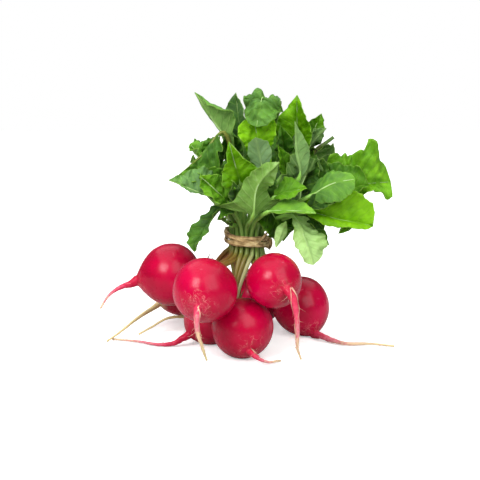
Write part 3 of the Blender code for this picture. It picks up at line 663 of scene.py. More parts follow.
Leaf = namedtuple(
    "Leaf", "base tip face width arch fold tone pale shape halves crumple curls sway teeth rib",
    defaults=("ovate", (1, 1), 1.0, (25, 25), 0.0, 0.35, 1.0))
leaves = {
    "front": (
        Leaf((2.9, -24, 70.5), (15.5, -31, 98.7), (-0.2, 0.92, 0.35), 35, 0.02, 48, 0.72, 0.3,
             "skirt", (1.0, 1.1), 0.5, (-25, 10), 0.14, 0.0),
        Leaf((7.4, -21, 92.1), (4.0, -30, 110.9), (0, 0.9, 0.4), 12.5, 0.1, 40, 0.68, 1.5,
             "ovate", (1.1, 1), 0.3, (20, 30), 0.0, 0.0, 0.5),
        Leaf((9.5, -11, 90), (3.0, -10, 118), (0.1, -0.95, 0.3), 23, -0.02, 40, 0.98, 0.0,
             "fan", (1, 1), 1.2, (20, 30), 0.0, 0.2),
        Leaf((10.4, -24, 72.4), (33.9, -33, 73.6), (0.1, -0.45, 0.88), 14, 0.05, 20, 0.86, 0.4,
             "ovate", (1.2, 0.6), 0.4, (-20, 20), 0.0, 0.1),
        Leaf((-3.6, -18, 86), (-9.0, -27, 108), (0.1, -0.9, 0.3), 23, 0.0, 50, 0.80, 0.0,
             "deltoid", (1, 1.1), 0.7, (10, 85), 0.0, 0.0),
        Leaf((-9.6, -18, 75.9), (-23.4, -26, 90.9), (0.3, -0.85, 0.35), 17, 0.05, 40, 0.72, 0.1,
             "ovate", (1, 1), 2.4, (30, 50), 0.0, 0.5),
    ),
    "front_left": (
        Leaf((-12.6, -19, 76.1), (-38.9, -24, 88.6), (0.1, -0.7, 0.7), 25, 0.02, 18, 0.62, 0.9,
             "ovate", (0.12, 1), 1.2, (0, 40), 0.0, 0.5),
        Leaf((-8, -11, 63), (-15, -17, 67.5), (-0.2, -0.4, 0.9), 9, 0.1, 30, 0.4, 0.1),
        Leaf((-12, -9, 72), (-27, -14.5, 50.0), (-0.6, -0.7, 0.3), 13, 0.1, 76, 0.5, 0.3,
             "strap", (1, 1), 1.1, (30, 30), 0.0, 0.15),
    ),
    "front_right": (
        Leaf((22.7, -17, 69.0), (33.0, -28, 46.2), (-0.35, 0.85, -0.3), 20, -0.12, 24, 1.0, 0.0,
             "blunt", (0.55, 1.1), 1.0, (30, -30), 0.0, 0.15),
        Leaf((29, -17, 71), (63.0, -24, 65.3), (0, -0.75, 0.65), 36, 0.08, 76, 0.88, 0.0,
             "shield", (1, 0.42), 0.5, (30, -40), 0.05, 0.0),
        Leaf((25.9, -20, 88.9), (23.2, -25, 118.1), (-0.35, 0.95, 0), 14.5, 0.0, 12, 0.72, 0.9,
             "spear", (1, 0.14), 0.3, (-15, 0), 0.0, 0.0, 0.5),
        Leaf((10.2, -9, 72.7), (18.9, -11, 54.8), (0.3, -0.8, 0.5), 22, 0.1, 20, 0.34, 0.0,
             "ovate", (1, 1), 0.8, (10, 10), 0.0, 0.1),
        Leaf((24, -14, 70), (34, -16, 98), (-0.3, 0.8, 0.5), 22, 0.1, 50, 0.35, 0.4,
             "round", (1, 1), 1.2, (20, 20), 0.0, 0.2),
        Leaf((13.4, -20, 79), (29.7, -25, 84.7), (0, -0.6, 0.8), 15, 0.05, 50, 0.72, 0.1,
             "ovate", (1, 1), 0.5, (40, -30), 0.0, 0.0),
    ),
    "right": (
        Leaf((37, 0, 79), (74.5, 4, 83), (0.1, -0.88, 0.45), 36, 0.08, 40, 0.78, 0.1,
             "peaked", (1.0, 0.6), 2.6, (-10, 30), 0.0, 0.4),
        Leaf((31.3, -24, 80.5), (53.2, -28, 89.8), (-0.1, -0.7, 0.7), 26, 0.14, -30, 0.66, 0.35,
             "round", (1, 0.75), 0.5, (-50, -20), 0.0, 0.0),
        Leaf((25, -4, 63), (42.5, -8, 52), (0.3, -0.6, 0.7), 13, 0.1, 30, 0.5, 0.1,
             "spear", (1, 1), 0.6, (20, 20), 0.0, 0.1),
    ),
    "left": (
        Leaf((-16, 8, 95), (-28, 16, 102), (0.3, -0.2, 0.9), 18, 0.1, 40, 0.5, 0.5),
        Leaf((-20, 4, 76), (-34, 12, 86), (0.1, 0, 1), 18, 0.1, 40, 0.45, 0.1),
        Leaf((-14, 4, 74), (-33, 8, 84), (0, -0.2, 1), 18, 0.1, 40, 0.5, 0.1),
        Leaf((-18, 10, 84), (-30, 20, 91), (0.6, -0.3, 0.7), 18, 0.1, 40, 0.45, 0.1),
    ),
    "low_left": (
        Leaf((-11.8, -7, 110), (-36.6, -10, 87.3), (-0.3, -0.8, 0.5), 30, 0.12, -60, 0.6, 0.25,
             "hung", (1, 0.04), 3.2, (90, 0), -0.1, 0.5, 1.6),
        Leaf((-7.2, -4, 100.8), (-26.4, -5, 130.2), (0.35, 0.85, 0.35), 27, 0.0, 30, 0.66, 0.5,
             "wing", (1, 0.1), 0.5, (-150, 0), 0.0, 0.0),
        Leaf((-15.9, -2, 86), (-29.2, -1, 103.4), (0.3, -0.6, 0.7), 18, 0.05, 40, 0.72, 0.3,
             "round", (1, 1), 2.4, (40, 40), 0.0, 0.6),
    ),
    "back": (
        Leaf((26, 8, 93), (25.7, 8, 127.5), (-0.3, -0.9, 0.1), 24, 0.0, 60, 0.74, 0.0,
             "ovate", (1, 1), 0.9, (20, 30), 0.0, 0.2),
        Leaf((27.5, 5, 91.6), (40.5, 2, 111.3), (-0.4, 0.8, 0.4), 17, 0.1, 50, 0.5, 0.7,
             "ovate", (1, 1), 1.2, (30, 30), 0.0, 0.3),
        Leaf((29, 14, 98), (39, 16, 117), (0.5, -0.7, 0.5), 12, 0.05, 40, 0.5, 0.0),
        Leaf((14, 18, 88), (22, 40, 108), (0, -0.5, 0.85), 26, 0.1, 40, 0.5, 0.1),
        Leaf((16, 22, 74), (26, 52, 76), (0, -0.1, 1), 26, 0.15, 40, 0.45, 0.1),
        # This leaf shows its underside, and its low tone is partly painted shade for the shadow it lies in
        Leaf((30, 9, 97), (48, 12, 85), (0.4, 0.8, 0.3), 18, 0.1, 40, 0.32, 0.2,
             "ovate", (1, 1), 1.3, (20, 20), 0.0, 0.1),
        Leaf((19, 9, 79), (35, 12, 101), (-0.2, -0.8, 0.5), 21, 0.05, 30, 0.3, 0.0,
             "ovate", (1, 1), 1.0, (20, 20), 0.0, 0.1),
        Leaf((36, 9, 99), (45, 10, 105.5), (0, 1, 0), 0, 0.0, 0, 0.5, 0.0),
    ),
    "back_left": (
        Leaf((-3.0, 6, 105), (-5.9, 5, 129.0), (-0.6, -0.75, 0.2), 16, 0.0, 50, 0.4, 0.5,
             "ovate", (1, 1), 0.4, (20, 20), 0.0, 0.0),
        Leaf((10.7, 3, 110), (4.6, -19, 114.5), (0, -0.3, 1), 23, 0.74, -30, 0.6, 0.5,
             "round", (1, 0.9), 3.0, (-60, -40), 0.0, 0.2),
        Leaf((-3, 20, 92), (-8, 38, 116), (0, -0.6, 0.8), 22, 0.1, 40, 0.45, 0.1),
        Leaf((-10, 22, 76), (-18, 52, 84), (0, -0.2, 1), 26, 0.15, 40, 0.5, 0.1),
        Leaf((2, 22, 84), (2, 46, 100), (0, -0.6, 0.8), 24, 0.1, 40, 0.55, 0.1),
    ),
}

# Small leaflets that grow on the stalks and ribs, by plant, without stalks of their own
leaflets = {
    "low_left": (
        Leaf((-14, -12, 80), (-26, -15, 92), (0.1, -0.8, 0.5), 15, 0.1, 50, 0.66, 0.2,
             "ovate", (1, 1), 3.0, (50, 60), 0.0, 0.6),
        Leaf((-14, -3, 92), (-20, -2, 107), (-0.2, -0.8, 0.5), 14, 0.1, 60, 0.42, 0.1,
             "ovate", (1, 1), 2.6, (40, 60), 0.0, 0.4),
        Leaf((-5.7, 1, 91.7), (-10.8, 1, 109.8), (0.1, -0.9, 0.3), 13, 0.05, 40, 0.36, 0.1),
    ),
    "right": (
        Leaf((38, -3, 76), (62, -7, 83), (0.1, -0.6, 0.75), 27, 0.05, 70, 0.56, 0.1,
             "round", (1, 1), 0.8, (40, 20), 0.0, 0.0),
    ),
    "back": (
        Leaf((20, 2, 92), (17, -2, 113), (0.1, -0.9, 0.3), 13, 0.05, 60, 0.5, 0.2,
             "ovate", (1, 1), 1.6, (40, 40), 0.0, 0.2),
        Leaf((22, -4, 84), (15.5, -6, 104), (0.3, -0.9, 0.2), 10, 0.05, 60, 0.66, 0.1,
             "spear", (1, 1), 1.2, (40, 40), 0.0, 0.2),
    ),
    "front": (
        Leaf((5, -12, 72), (10, -13, 95), (0.2, -0.9, 0.3), 16, 0.05, 50, 0.28, 0.1),
        Leaf((-5.1, -20, 75.7), (-7.1, -23, 88), (0.2, -0.9, 0.3), 10, -0.1, 60, 0.28, 0.2,
             "ovate", (1, 1), 0.6, (70, 70), 0.0, 0.0),
    ),
    "front_left": (
        Leaf((-6, -17, 72), (-13.5, -21, 69), (-0.2, -0.6, 0.7), 7, 0.1, 40, 0.35, 0.1),
    ),
    "front_right": (
        Leaf((27, -10, 79), (35, -9, 99), (-0.2, -0.9, 0.3), 17, 0.05, 50, 0.3, 0.1),
        # Painted shadow: this leaflet's dark tone stands for the shadow under the right plant's dome leaf
        Leaf((29.3, -25, 74.6), (48.5, -27, 81.1), (0, -0.8, 0.6), 11, 0.05, 50, 0.28, 0.1,
             "ovate", (1, 1), 0.9, (20, 20), 0.0, 0.0),
        Leaf((32.3, -6, 71.6), (38.8, -3, 96.5), (0.1, -0.9, 0.3), 19, 0.05, 40, 0.34, 0.1),
        Leaf((23.0, -8, 72.5), (34.6, -12, 64.9), (0.1, -0.7, 0.6), 14, 0.05, 40, 0.34, 0.1),
        Leaf((52.5, -20, 66), (45.7, -22, 60.8), (0.2, -0.8, 0.4), 5, 0.1, 40, 0.7, 0.1, "spear"),
        Leaf((30, -15, 69), (39, -17, 62), (0.1, -0.8, 0.5), 10, 0.1, 40, 0.3, 0.1),
        Leaf((19.5, -21, 67), (14.2, -23, 53.5), (-0.2, 0.9, -0.3), 6.5, 0.05, 40, 0.95, 0.2, "spear",
             (1, 1), 0.6, (30, 30), 0.0, 0.1),
    ),
}

# Outlines: how far the two halves reach at places from base to tip
outlines = {
    "ovate": ((0, 0.08, 0.08), (0.12, 0.5, 0.5), (0.3, 0.9, 0.9), (0.45, 1, 1), (0.65, 0.85, 0.85),
              (0.85, 0.42, 0.42), (1, 0, 0)),
    "spear": ((0, 0.1, 0.1), (0.15, 0.55, 0.55), (0.32, 0.95, 0.95), (0.45, 1, 1), (0.7, 0.6, 0.6),
              (0.88, 0.24, 0.24), (1, 0, 0)),
    "round": ((0, 0.15, 0.15), (0.15, 0.7, 0.7), (0.35, 1, 1), (0.6, 1, 1), (0.82, 0.86, 0.86),
              (0.95, 0.5, 0.5), (1, 0.05, 0.05)),
    "blunt": ((0, 0.1, 0.1), (0.2, 0.6, 0.6), (0.45, 0.95, 0.95), (0.7, 1, 1), (0.88, 0.75, 0.75),
              (0.96, 0.4, 0.4), (1, 0, 0)),
    "hung": ((0, 0.04, 0.2), (0.16, 0.1, 0.5), (0.3, 0.62, 1), (0.5, 1, 1), (0.72, 0.9, 1),
             (0.9, 0.5, 0.8), (1, 0, 0)),
    "fan": ((0, 0.1, 0.1), (0.25, 0.4, 0.35), (0.55, 0.75, 0.7), (0.8, 1, 0.95), (0.93, 0.9, 0.95),
            (1, 0.5, 0.3)),
    "deltoid": ((0, 0.2, 0.2), (0.1, 0.8, 0.8), (0.22, 1, 1), (0.45, 0.72, 0.75), (0.75, 0.36, 0.4),
                (1, 0, 0)),
    "skirt": ((0, 0.6, 0.6), (0.05, 1, 1), (0.14, 0.9, 0.88), (0.27, 0.56, 0.48), (0.45, 0.42, 0.32),
              (0.7, 0.4, 0.34), (0.86, 0.25, 0.22), (1, 0, 0)),
    "strap": ((0, 0.1, 0.1), (0.15, 0.45, 0.5), (0.4, 0.65, 0.8), (0.7, 0.95, 1), (0.9, 0.85, 0.9),
              (1, 0.1, 0.1)),
    "wing": ((0, 0.1, 0.4), (0.18, 0.3, 1), (0.33, 0.72, 1), (0.5, 1, 1), (0.62, 0.84, 1),
             (0.8, 0.42, 1), (1, 0, 0)),
    "shield": ((0, 0.2, 0.2), (0.15, 0.75, 0.8), (0.35, 1, 1), (0.55, 0.96, 1), (0.75, 0.75, 0.9),
               (0.92, 0.66, 0.55), (0.985, 0.4, 0.2), (1, 0, 0)),
    "peaked": ((0, 0.15, 0.2), (0.12, 0.6, 0.8), (0.3, 0.95, 0.9), (0.5, 0.92, 0.8), (0.62, 0.9, 0.7),
               (0.7, 1.24, 0.6), (0.79, 0.88, 0.75), (0.9, 0.6, 1), (0.96, 0.35, 0.9), (1, 0, 0)),
}

blade = {
    "across": 28,
    "along": 64,
    "thickness": 0.35 * mm,
    "tooth": 0.16,  # this and the next heights are shares of half the blade's width
    "uneven": 0.09,
    "wave": 0.22,
    "ruffle": 0.08,
    "toothSize": 3.4 * mm,
    "unevenness": 5.0,  # this and the next are counted along the blade
    "waves": 1.8,
    "ruffles": 5.5,
    "veinSpacing": 4.6 * mm,
    "veinSweep": 0.75,  # how far a vein runs towards the tip for each step outwards
    "pucker": 0.6 * mm,  # between the veins
    "crumple": 1.5 * mm,
    "crumpleSize": 6.5 * mm,
    "ribGroove": 0.25 * mm,
    "ribWidth": 0.7 * mm,
    "narrowest": 0.02,
    "toothWidths": (0.6, 1.5),
    "toothDepths": (0.5, 1.5),
    "toothRise": 1.3,
    "toothPeak": 0.75,  # where each tooth turns back
    "toothTop": 0.69,
    "toothSink": 0.35,
    "foldAtRib": 1.4,  # the fold is sharpest at the rib and eases outwards
    "foldEase": 0.8,
    "curlFrom": 0.5,  # share of the way out where the edges start to curl
    "curlMean": 0.65,
    "curlSwing": 0.5,
    "curlRate": 4.2,
    "easeIn": 0.25,  # the relief grows over this share of the length, and fades over the next
    "easeOut": 0.2,
    "fineRuffles": 11,
    "mostRuffled": 1.4,
    # painted shade: how much the leaf's tone darkens towards its base, which the other leaves shade
    "baseShade": 0.22,
    "toneAt": 0.6,  # share of the length where a leaf has its own tone
}

stalk = {
    "radius": 1.08 * mm,
    "crownRadius": 1.5 * mm,
    "cut": 0.85,  # share of its radius at the end that is cut off
    "gap": 0.35 * mm,  # between the bulb and the crown
    "foot": 1.4 * mm,
    "rise": 3.5 * mm,
    "spread": 0.4,  # how far the stalks of a crown stand apart, as a share of their places in the tie
    "gatherOut": 3.0 * mm,
    "gatherDrop": 3.0 * mm,
    "steps": (4, 4, 4, 6, 10),  # from each of its points to the next
    "sides": 12,
    "rib": 0.55 * mm,
    "ribTip": 0.10 * mm,
    "ribEnd": 0.97,  # share of the blade that the rib runs along
    "ribTaper": 1.4,
    "ribNarrows": 6,
    "ribSinks": 8,
    "ribUnder": -0.75,  # how far it lies under its blade, in its own radii
    "ribOver": 0.5,  # or over it, where the stalk is brown
    "ridges": 5,
    "ridgeHeight": 0.05,
    "rough": 0.04,
    "roughRate": 0.4,
}

crownShape = {
    "heights": (0, 0.8, 1.8, 2.7, 3.2),
    "widths": (5.0, 4.7, 4.1, 3.2, 1.8),
    "sides": 24,
    "ridges": 7,
    "ridgeHeight": 0.06,
    "stubs": 3,
    "stubAt": 3.2 * mm,
    "stubRadius": 0.75 * mm,
    "stubLengths": (5, 7),
    "stubTaper": 0.8,
    "stubSides": 8,
}

# How red the stalks of a plant are near the crown: most plants' are a little red
blush = {"left": 2.3, "back_left": 1.8, "low_left": 1.9, "front_left": 1.6, "front": 1.2, "others": 0.8}
creamStalks = {("front", 3): -1.0}  # below 0 it is cream instead
brownStalks = {("low_left", 0): 0.2, ("back", 7): 0.22}  # share of the way to green that these ones get
brownRed = 0.2


# Leaf: thin living tissue with a waxy upper side, a duller underside and light shining through

leafSides = {
    "waxyLeafUpper": dict(
        shades=(
            (0.05, "#0E2401"), (0.30, "#284F02"), (0.52, "#447A02"), (0.75, "#68A404"), (1.0, "#92D01C")),
        veinColour="#8EBC44", glow="#8CDC04", roughness=0.42, veinStrength=0.22, veinHeight=-2.0,
    ),
    "dullLeafUnderside": dict(
        shades=(
            (0.05, "#20380A"), (0.30, "#3E6410"), (0.52, "#5E8A20"), (0.75, "#80B03E"), (1.0, "#CAF09A")),
        veinColour="#B0D07C", glow="#A4D830", roughness=0.6, veinStrength=0.3, veinHeight=2.0,
    ),
}

leafLook = {
    "bloom": "#94B48E",
    "margin": "#A9CB5A",
    "mostBloom": 0.42,
    "through": 0.32,  # share of the light that shines through
    "glowShare": 0.55,
    "wander": 1.6,  # millimetres
    # Pattern scales for coordinates in millimetres, with the real sizes that they give
    "wanderScale": 0.35,  # 3 mm
    "netScale": 0.62,  # meshes 1.6 mm wide
    "blotchScale": 0.15,  # 7 mm, with finer ones in them
    "grainScale": 2.2,  # 0.5 mm
}


def makeLeafMaterial(name, shades, veinColour, glow, roughness, veinStrength, veinHeight):
    made, tree, shader, output = newMaterial(name)
    placed = add(tree, "Attribute", attribute_name="leafPlace")
    split = add(tree, "SeparateXYZ", {0: placed.outputs["Vector"]})
    across, along, edge = split.outputs[0], split.outputs[1], split.outputs[2]
    toned = add(tree, "Attribute", attribute_name="leafToneAndShade")
    tones = add(tree, "SeparateXYZ", {0: toned.outputs["Vector"]})
    tone, pale, seed = tones.outputs[0], tones.outputs[1], tones.outputs[2]
    spot = add(tree, "CombineXYZ", {0: across, 1: along, 2: seed})

    # Lateral veins every 4.6 mm, which leave the midrib at a slant and wander
    wander = add(tree, "TexNoise", {"Vector": spot, "Scale": leafLook["wanderScale"], "Detail": 2})
    reach = add(tree, "Math", {0: across}, operation="ABSOLUTE")
    swept = add(tree, "Math", {0: reach, 1: -blade["veinSweep"], 2: along}, operation="MULTIPLY_ADD")
    bent = add(tree, "Math", {0: wander, 1: leafLook["wander"], 2: swept}, operation="MULTIPLY_ADD")
    veinGap = blade["veinSpacing"] / mm
    toVein = add(tree, "Math", {0: bent, 1: veinGap / 2}, operation="PINGPONG")
    lateral = add(tree, "MapRange", {0: toVein, 1: 0.12, 2: 0.55, 3: 1.0, 4: 0.0},
                  interpolation_type="SMOOTHSTEP")
    rib = add(tree, "MapRange", {0: reach, 1: 0.35, 2: 0.95, 3: 1.0, 4: 0.0},
              interpolation_type="SMOOTHSTEP")

    # A net of fine veins between them
    net = add(tree, "TexVoronoi", {"Vector": spot, "Scale": leafLook["netScale"]},
              feature="DISTANCE_TO_EDGE")
    netMask = add(tree, "MapRange", {0: net, 1: 0.0, 2: 0.11, 3: 0.35, 4: 0.0})
    strong = add(tree, "Math", {0: lateral, 1: rib}, operation="MAXIMUM")
    veins = add(tree, "Math", {0: strong, 1: netMask}, operation="MAXIMUM")

    # Blotches lighten and darken the blade
    broad = add(tree, "TexNoise", {
        "Vector": spot, "Scale": leafLook["blotchScale"], "Detail": 4, "Roughness": 0.6})
    mottled = add(tree, "Math", {0: broad, 1: 0.8, 2: -0.4}, operation="MULTIPLY_ADD")
    # the tone carries the painted shade at the leaf's base
    shade = add(tree, "Math", {0: tone, 1: mottled}, operation="ADD")
    green = add(tree, "ValToRGB", {0: shade}, ramp=shades)
    paleness = add(tree, "Math", {0: pale, 1: leafLook["mostBloom"]}, operation="MULTIPLY")
    paler = add(tree, "Mix", {0: paleness, 6: green, 7: leafLook["bloom"]}, data_type="RGBA")
    veinFactor = add(tree, "Math", {0: veins, 1: veinStrength}, operation="MULTIPLY")
    veined = add(tree, "Mix", {0: veinFactor, 6: paler, 7: veinColour}, data_type="RGBA")
    margin = add(tree, "MapRange", {0: edge, 1: 0.955, 2: 1.0, 3: 0.0, 4: 0.35})
    colour = add(tree, "Mix", {0: margin, 6: veined, 7: leafLook["margin"]}, data_type="RGBA")
    tree.links.new(colour.outputs[2], shader.inputs["Base Color"])

    grain = add(tree, "TexNoise", {"Vector": spot, "Scale": leafLook["grainScale"], "Detail": 3})
    rough = add(tree, "MapRange", {0: grain, 1: 0.3, 2: 0.7, 3: roughness - 0.07, 4: roughness + 0.1})
    tree.links.new(rough.outputs[0], shader.inputs["Roughness"])
    height = add(tree, "Math", {0: veins, 1: veinHeight, 2: grain}, operation="MULTIPLY_ADD")
    bump = add(tree, "Bump", {"Height": height, "Strength": 0.4, "Distance": 0.00025})
    tree.links.new(bump.outputs[0], shader.inputs["Normal"])
    shader.inputs["IOR"].default_value = 1.42
    shader.inputs["Specular IOR Level"].default_value = 0.22

    through = add(tree, "BsdfTranslucent", {"Normal": bump})
    lit = add(tree, "Mix", {0: leafLook["glowShare"], 6: colour, 7: glow}, data_type="RGBA")
    tree.links.new(lit.outputs[2], through.inputs["Color"])
    both = add(tree, "MixShader", {0: leafLook["through"], 1: shader, 2: through})
    tree.links.new(both.outputs[0], output.inputs["Surface"])
    return made


# Leaf stalk: juicy, ribbed and smooth, pale at the crown and greener towards its blade

stalkLook = {
    "ripe": (
        (0.0, "#847E3E"), (0.2, "#788E38"), (0.3, "#9AC664"), (0.5, "#84BA48"), (0.62, "#A4C878"),
        (1.0, "#AED088")),
    # a deeper green, partly painted shade for the gaps between the crowded stalks
    "deepGreenAndShade": "#2E4A12",
    "red": "#96402A",
    "cream": "#D2C896",
}


def makeStalkMaterial():
    made, tree, shader, _ = newMaterial("juicyLeafStalk")
    placed = add(tree, "Attribute", attribute_name="growth")
    split = add(tree, "SeparateXYZ", {0: placed.outputs["Vector"]})
    share, red, seed = split.outputs[0], split.outputs[1], split.outputs[2]
    coord = add(tree, "TexCoord")
    # Streaks 0.5 mm wide and about 50 mm long, with other ones on each stalk
    stretch = add(tree, "Mapping", {"Vector": coord.outputs["UV"], "Scale": (9, 1.5, 1)})
    place = add(tree, "VectorMath", {0: stretch, 1: placed.outputs["Vector"]}, operation="ADD")
    streak = add(tree, "TexNoise", {"Vector": place, "Scale": 1.4, "Detail": 4})
    worn = add(tree, "Math", {0: streak, 1: 0.6, 2: -0.3}, operation="MULTIPLY_ADD")
    shade = add(tree, "Math", {0: share, 1: 0.5, 2: worn}, operation="MULTIPLY_ADD")
    ripe = add(tree, "ValToRGB", {0: shade}, ramp=stalkLook["ripe"])
    # Some stalks are darker at random, and the dark ones are also painted shade for the gaps between the
    # stalks
    own = add(tree, "Math", {0: seed}, operation="FRACT")  # each stalk has its own depth of green
    depth = add(tree, "MapRange", {0: own, 1: 0.0, 2: 0.6, 3: 0.75, 4: 0.0})
    below = add(tree, "MapRange", {0: share, 1: 0.8, 2: 1.0, 3: 1.0, 4: 0.0})  # but not on its blade
    deepGreenAndShade = add(tree, "Math", {0: depth, 1: below}, operation="MULTIPLY")
    green = add(tree, "Mix", {0: deepGreenAndShade, 6: ripe, 7: stalkLook["deepGreenAndShade"]}, data_type="RGBA")
    crownward = add(tree, "MapRange", {0: share, 1: 0.0, 2: 0.55, 3: 1.0, 4: 0.0})
    blush = add(tree, "Math", {0: crownward, 1: red}, operation="MULTIPLY")
    blushed = add(tree, "Math", {0: blush, 1: streak}, operation="MULTIPLY", use_clamp=True)
    redder = add(tree, "Mix", {0: blushed, 6: green, 7: stalkLook["red"]}, data_type="RGBA")
    cream = add(tree, "Math", {0: blush, 1: -1.0}, operation="MULTIPLY", use_clamp=True)
    colour = add(tree, "Mix", {0: cream, 6: redder, 7: stalkLook["cream"]}, data_type="RGBA")
    tree.links.new(colour.outputs[2], shader.inputs["Base Color"])
    bump = add(tree, "Bump", {"Height": streak, "Strength": 0.4, "Distance": 0.0003})
    tree.links.new(bump.outputs[0], shader.inputs["Normal"])
    shader.inputs["Roughness"].default_value = 0.38
    shader.inputs["IOR"].default_value = 1.42
    shader.inputs["Subsurface Weight"].default_value = 0.15
    shader.inputs["Subsurface Radius"].default_value = (0.6, 1.0, 0.3)
    shader.inputs["Subsurface Scale"].default_value = 0.001
    return made


def bearing(point):
    return math.atan2(point[1], point[0])


def nearestTurn(angle):
    return math.atan2(math.sin(angle), math.cos(angle))


def leanOf(leaf):
    middle = inMetres(leaf.base).lerp(inMetres(leaf.tip), 0.4)
    return math.hypot(middle.x, middle.y) / max(middle.z - tie["height"], 1 * mm)


def stalkSlots():  # each leaf's place in the tie, dealt to the plants in wedges as in the solids
    names = sorted(radishes, key=lambda name: bearing(crownOf(radishes[name])) % turn)
    places = []
    for radius, count in tie["rings"]:
        places += [(turn * (k + 0.5) / count, radius) for k in range(count)]
    places.sort()
    wedges = {}
    for name in names:
        count = len(leaves[name])
        wedges[name], places = places[:count], places[count:]
    misses = [
        nearestTurn(bearing(crownOf(radishes[name])) - sum(a for a, _ in wedge) / len(wedge))
        for name, wedge in wedges.items()
    ]
    start = sum(misses) / len(misses)
    slots = {}
    for name, wedge in wedges.items():
        middle = start + sum(a for a, _ in wedge) / len(wedge)
        order = sorted(range(len(wedge)), key=lambda index: -leanOf(leaves[name][index]))
        for radius, _ in tie["rings"]:
            angles = [angle for angle, r in wedge if r == radius]
            ring, order = order[: len(angles)], order[len(angles) :]
            ring.sort(key=lambda index: nearestTurn(bearing(leaves[name][index].base) - middle))
            for angle, index in zip(angles, ring):
                x, y = radius * math.cos(start + angle), radius * math.sin(start + angle)
                slots[name, index] = Vector((x, y, tie["height"] - tie["slope"] * x))
    return slots


def leafLine(spec, leaf, slot, middle):
    out = -headingOf(spec)
    spread = (slot - middle) * stalk["spread"]
    spread -= out * spread.dot(out)
    root = crownOf(spec) + out * (stalk["gap"] + stalk["foot"]) + spread
    above = slot + Vector((0, 0, tie["straightHalf"]))
    below = slot - Vector((0, 0, tie["straightHalf"]))
    base, bow, tip = bladeLine(leaf)
    aside = Vector((root.x - below.x, root.y - below.y, 0))
    nearer = aside * min(stalk["gatherOut"] / aside.length, 1)
    gathered = below + nearer - Vector((0, 0, stalk["gatherDrop"]))
    return [root, root + out * stalk["rise"], gathered, below, above, base, bow, tip]


def bladeLine(leaf):
    base, tip = inMetres(leaf.base), inMetres(leaf.tip)
    face = Vector(leaf.face).normalized()
    side = (tip - base).cross(face).normalized()
    bow = base.lerp(tip, 0.5) + (face * leaf.arch + side * leaf.sway) * (tip - base).length
    return [base, bow, tip]


def reachAt(outline, u, half):  # smooth between the outline's places
    for (a, *before), (b, *after) in zip(outline, outline[1:]):
        if u <= b:
            t = (u - a) / (b - a)
            t = t if b == 1 else t * t * (3 - 2 * t) * 0.6 + t * 0.4
            return before[half] + (after[half] - before[half]) * t
    return 0.0


def toothRow(draw, length):  # uneven teeth along one margin: where each ends, and how deep it is
    places, at = [], 0.0
    while at < 1:
        at += blade["toothSize"] / length * draw.uniform(*blade["toothWidths"])
        places.append((at, draw.uniform(*blade["toothDepths"])))
    return places


def toothAt(teeth, u):  # each tooth swells towards the tip of the leaf, and is then cut back
    start = 0.0
    for end, depth in teeth:
        if u <= end:
            t = (u - start) / (end - start)
            peak = blade["toothPeak"]
            height = t ** blade["toothRise"] if t < peak else blade["toothTop"] * (1 - t) / (1 - peak)
            return depth * height - blade["toothSink"]
        start = end
    return 0.0


def carriedNormals(ways, normal):  # from the middle of the blade to its ends, without twist
    middle = len(ways) // 2
    normals = [None] * len(ways)
    normals[middle] = (normal - ways[middle] * normal.dot(ways[middle])).normalized()
    for i in [*range(middle + 1, len(ways)), *range(middle - 1, -1, -1)]:
        near = normals[i - 1 if i > middle else i + 1]
        normals[i] = (near - ways[i] * near.dot(ways[i])).normalized()
    return normals


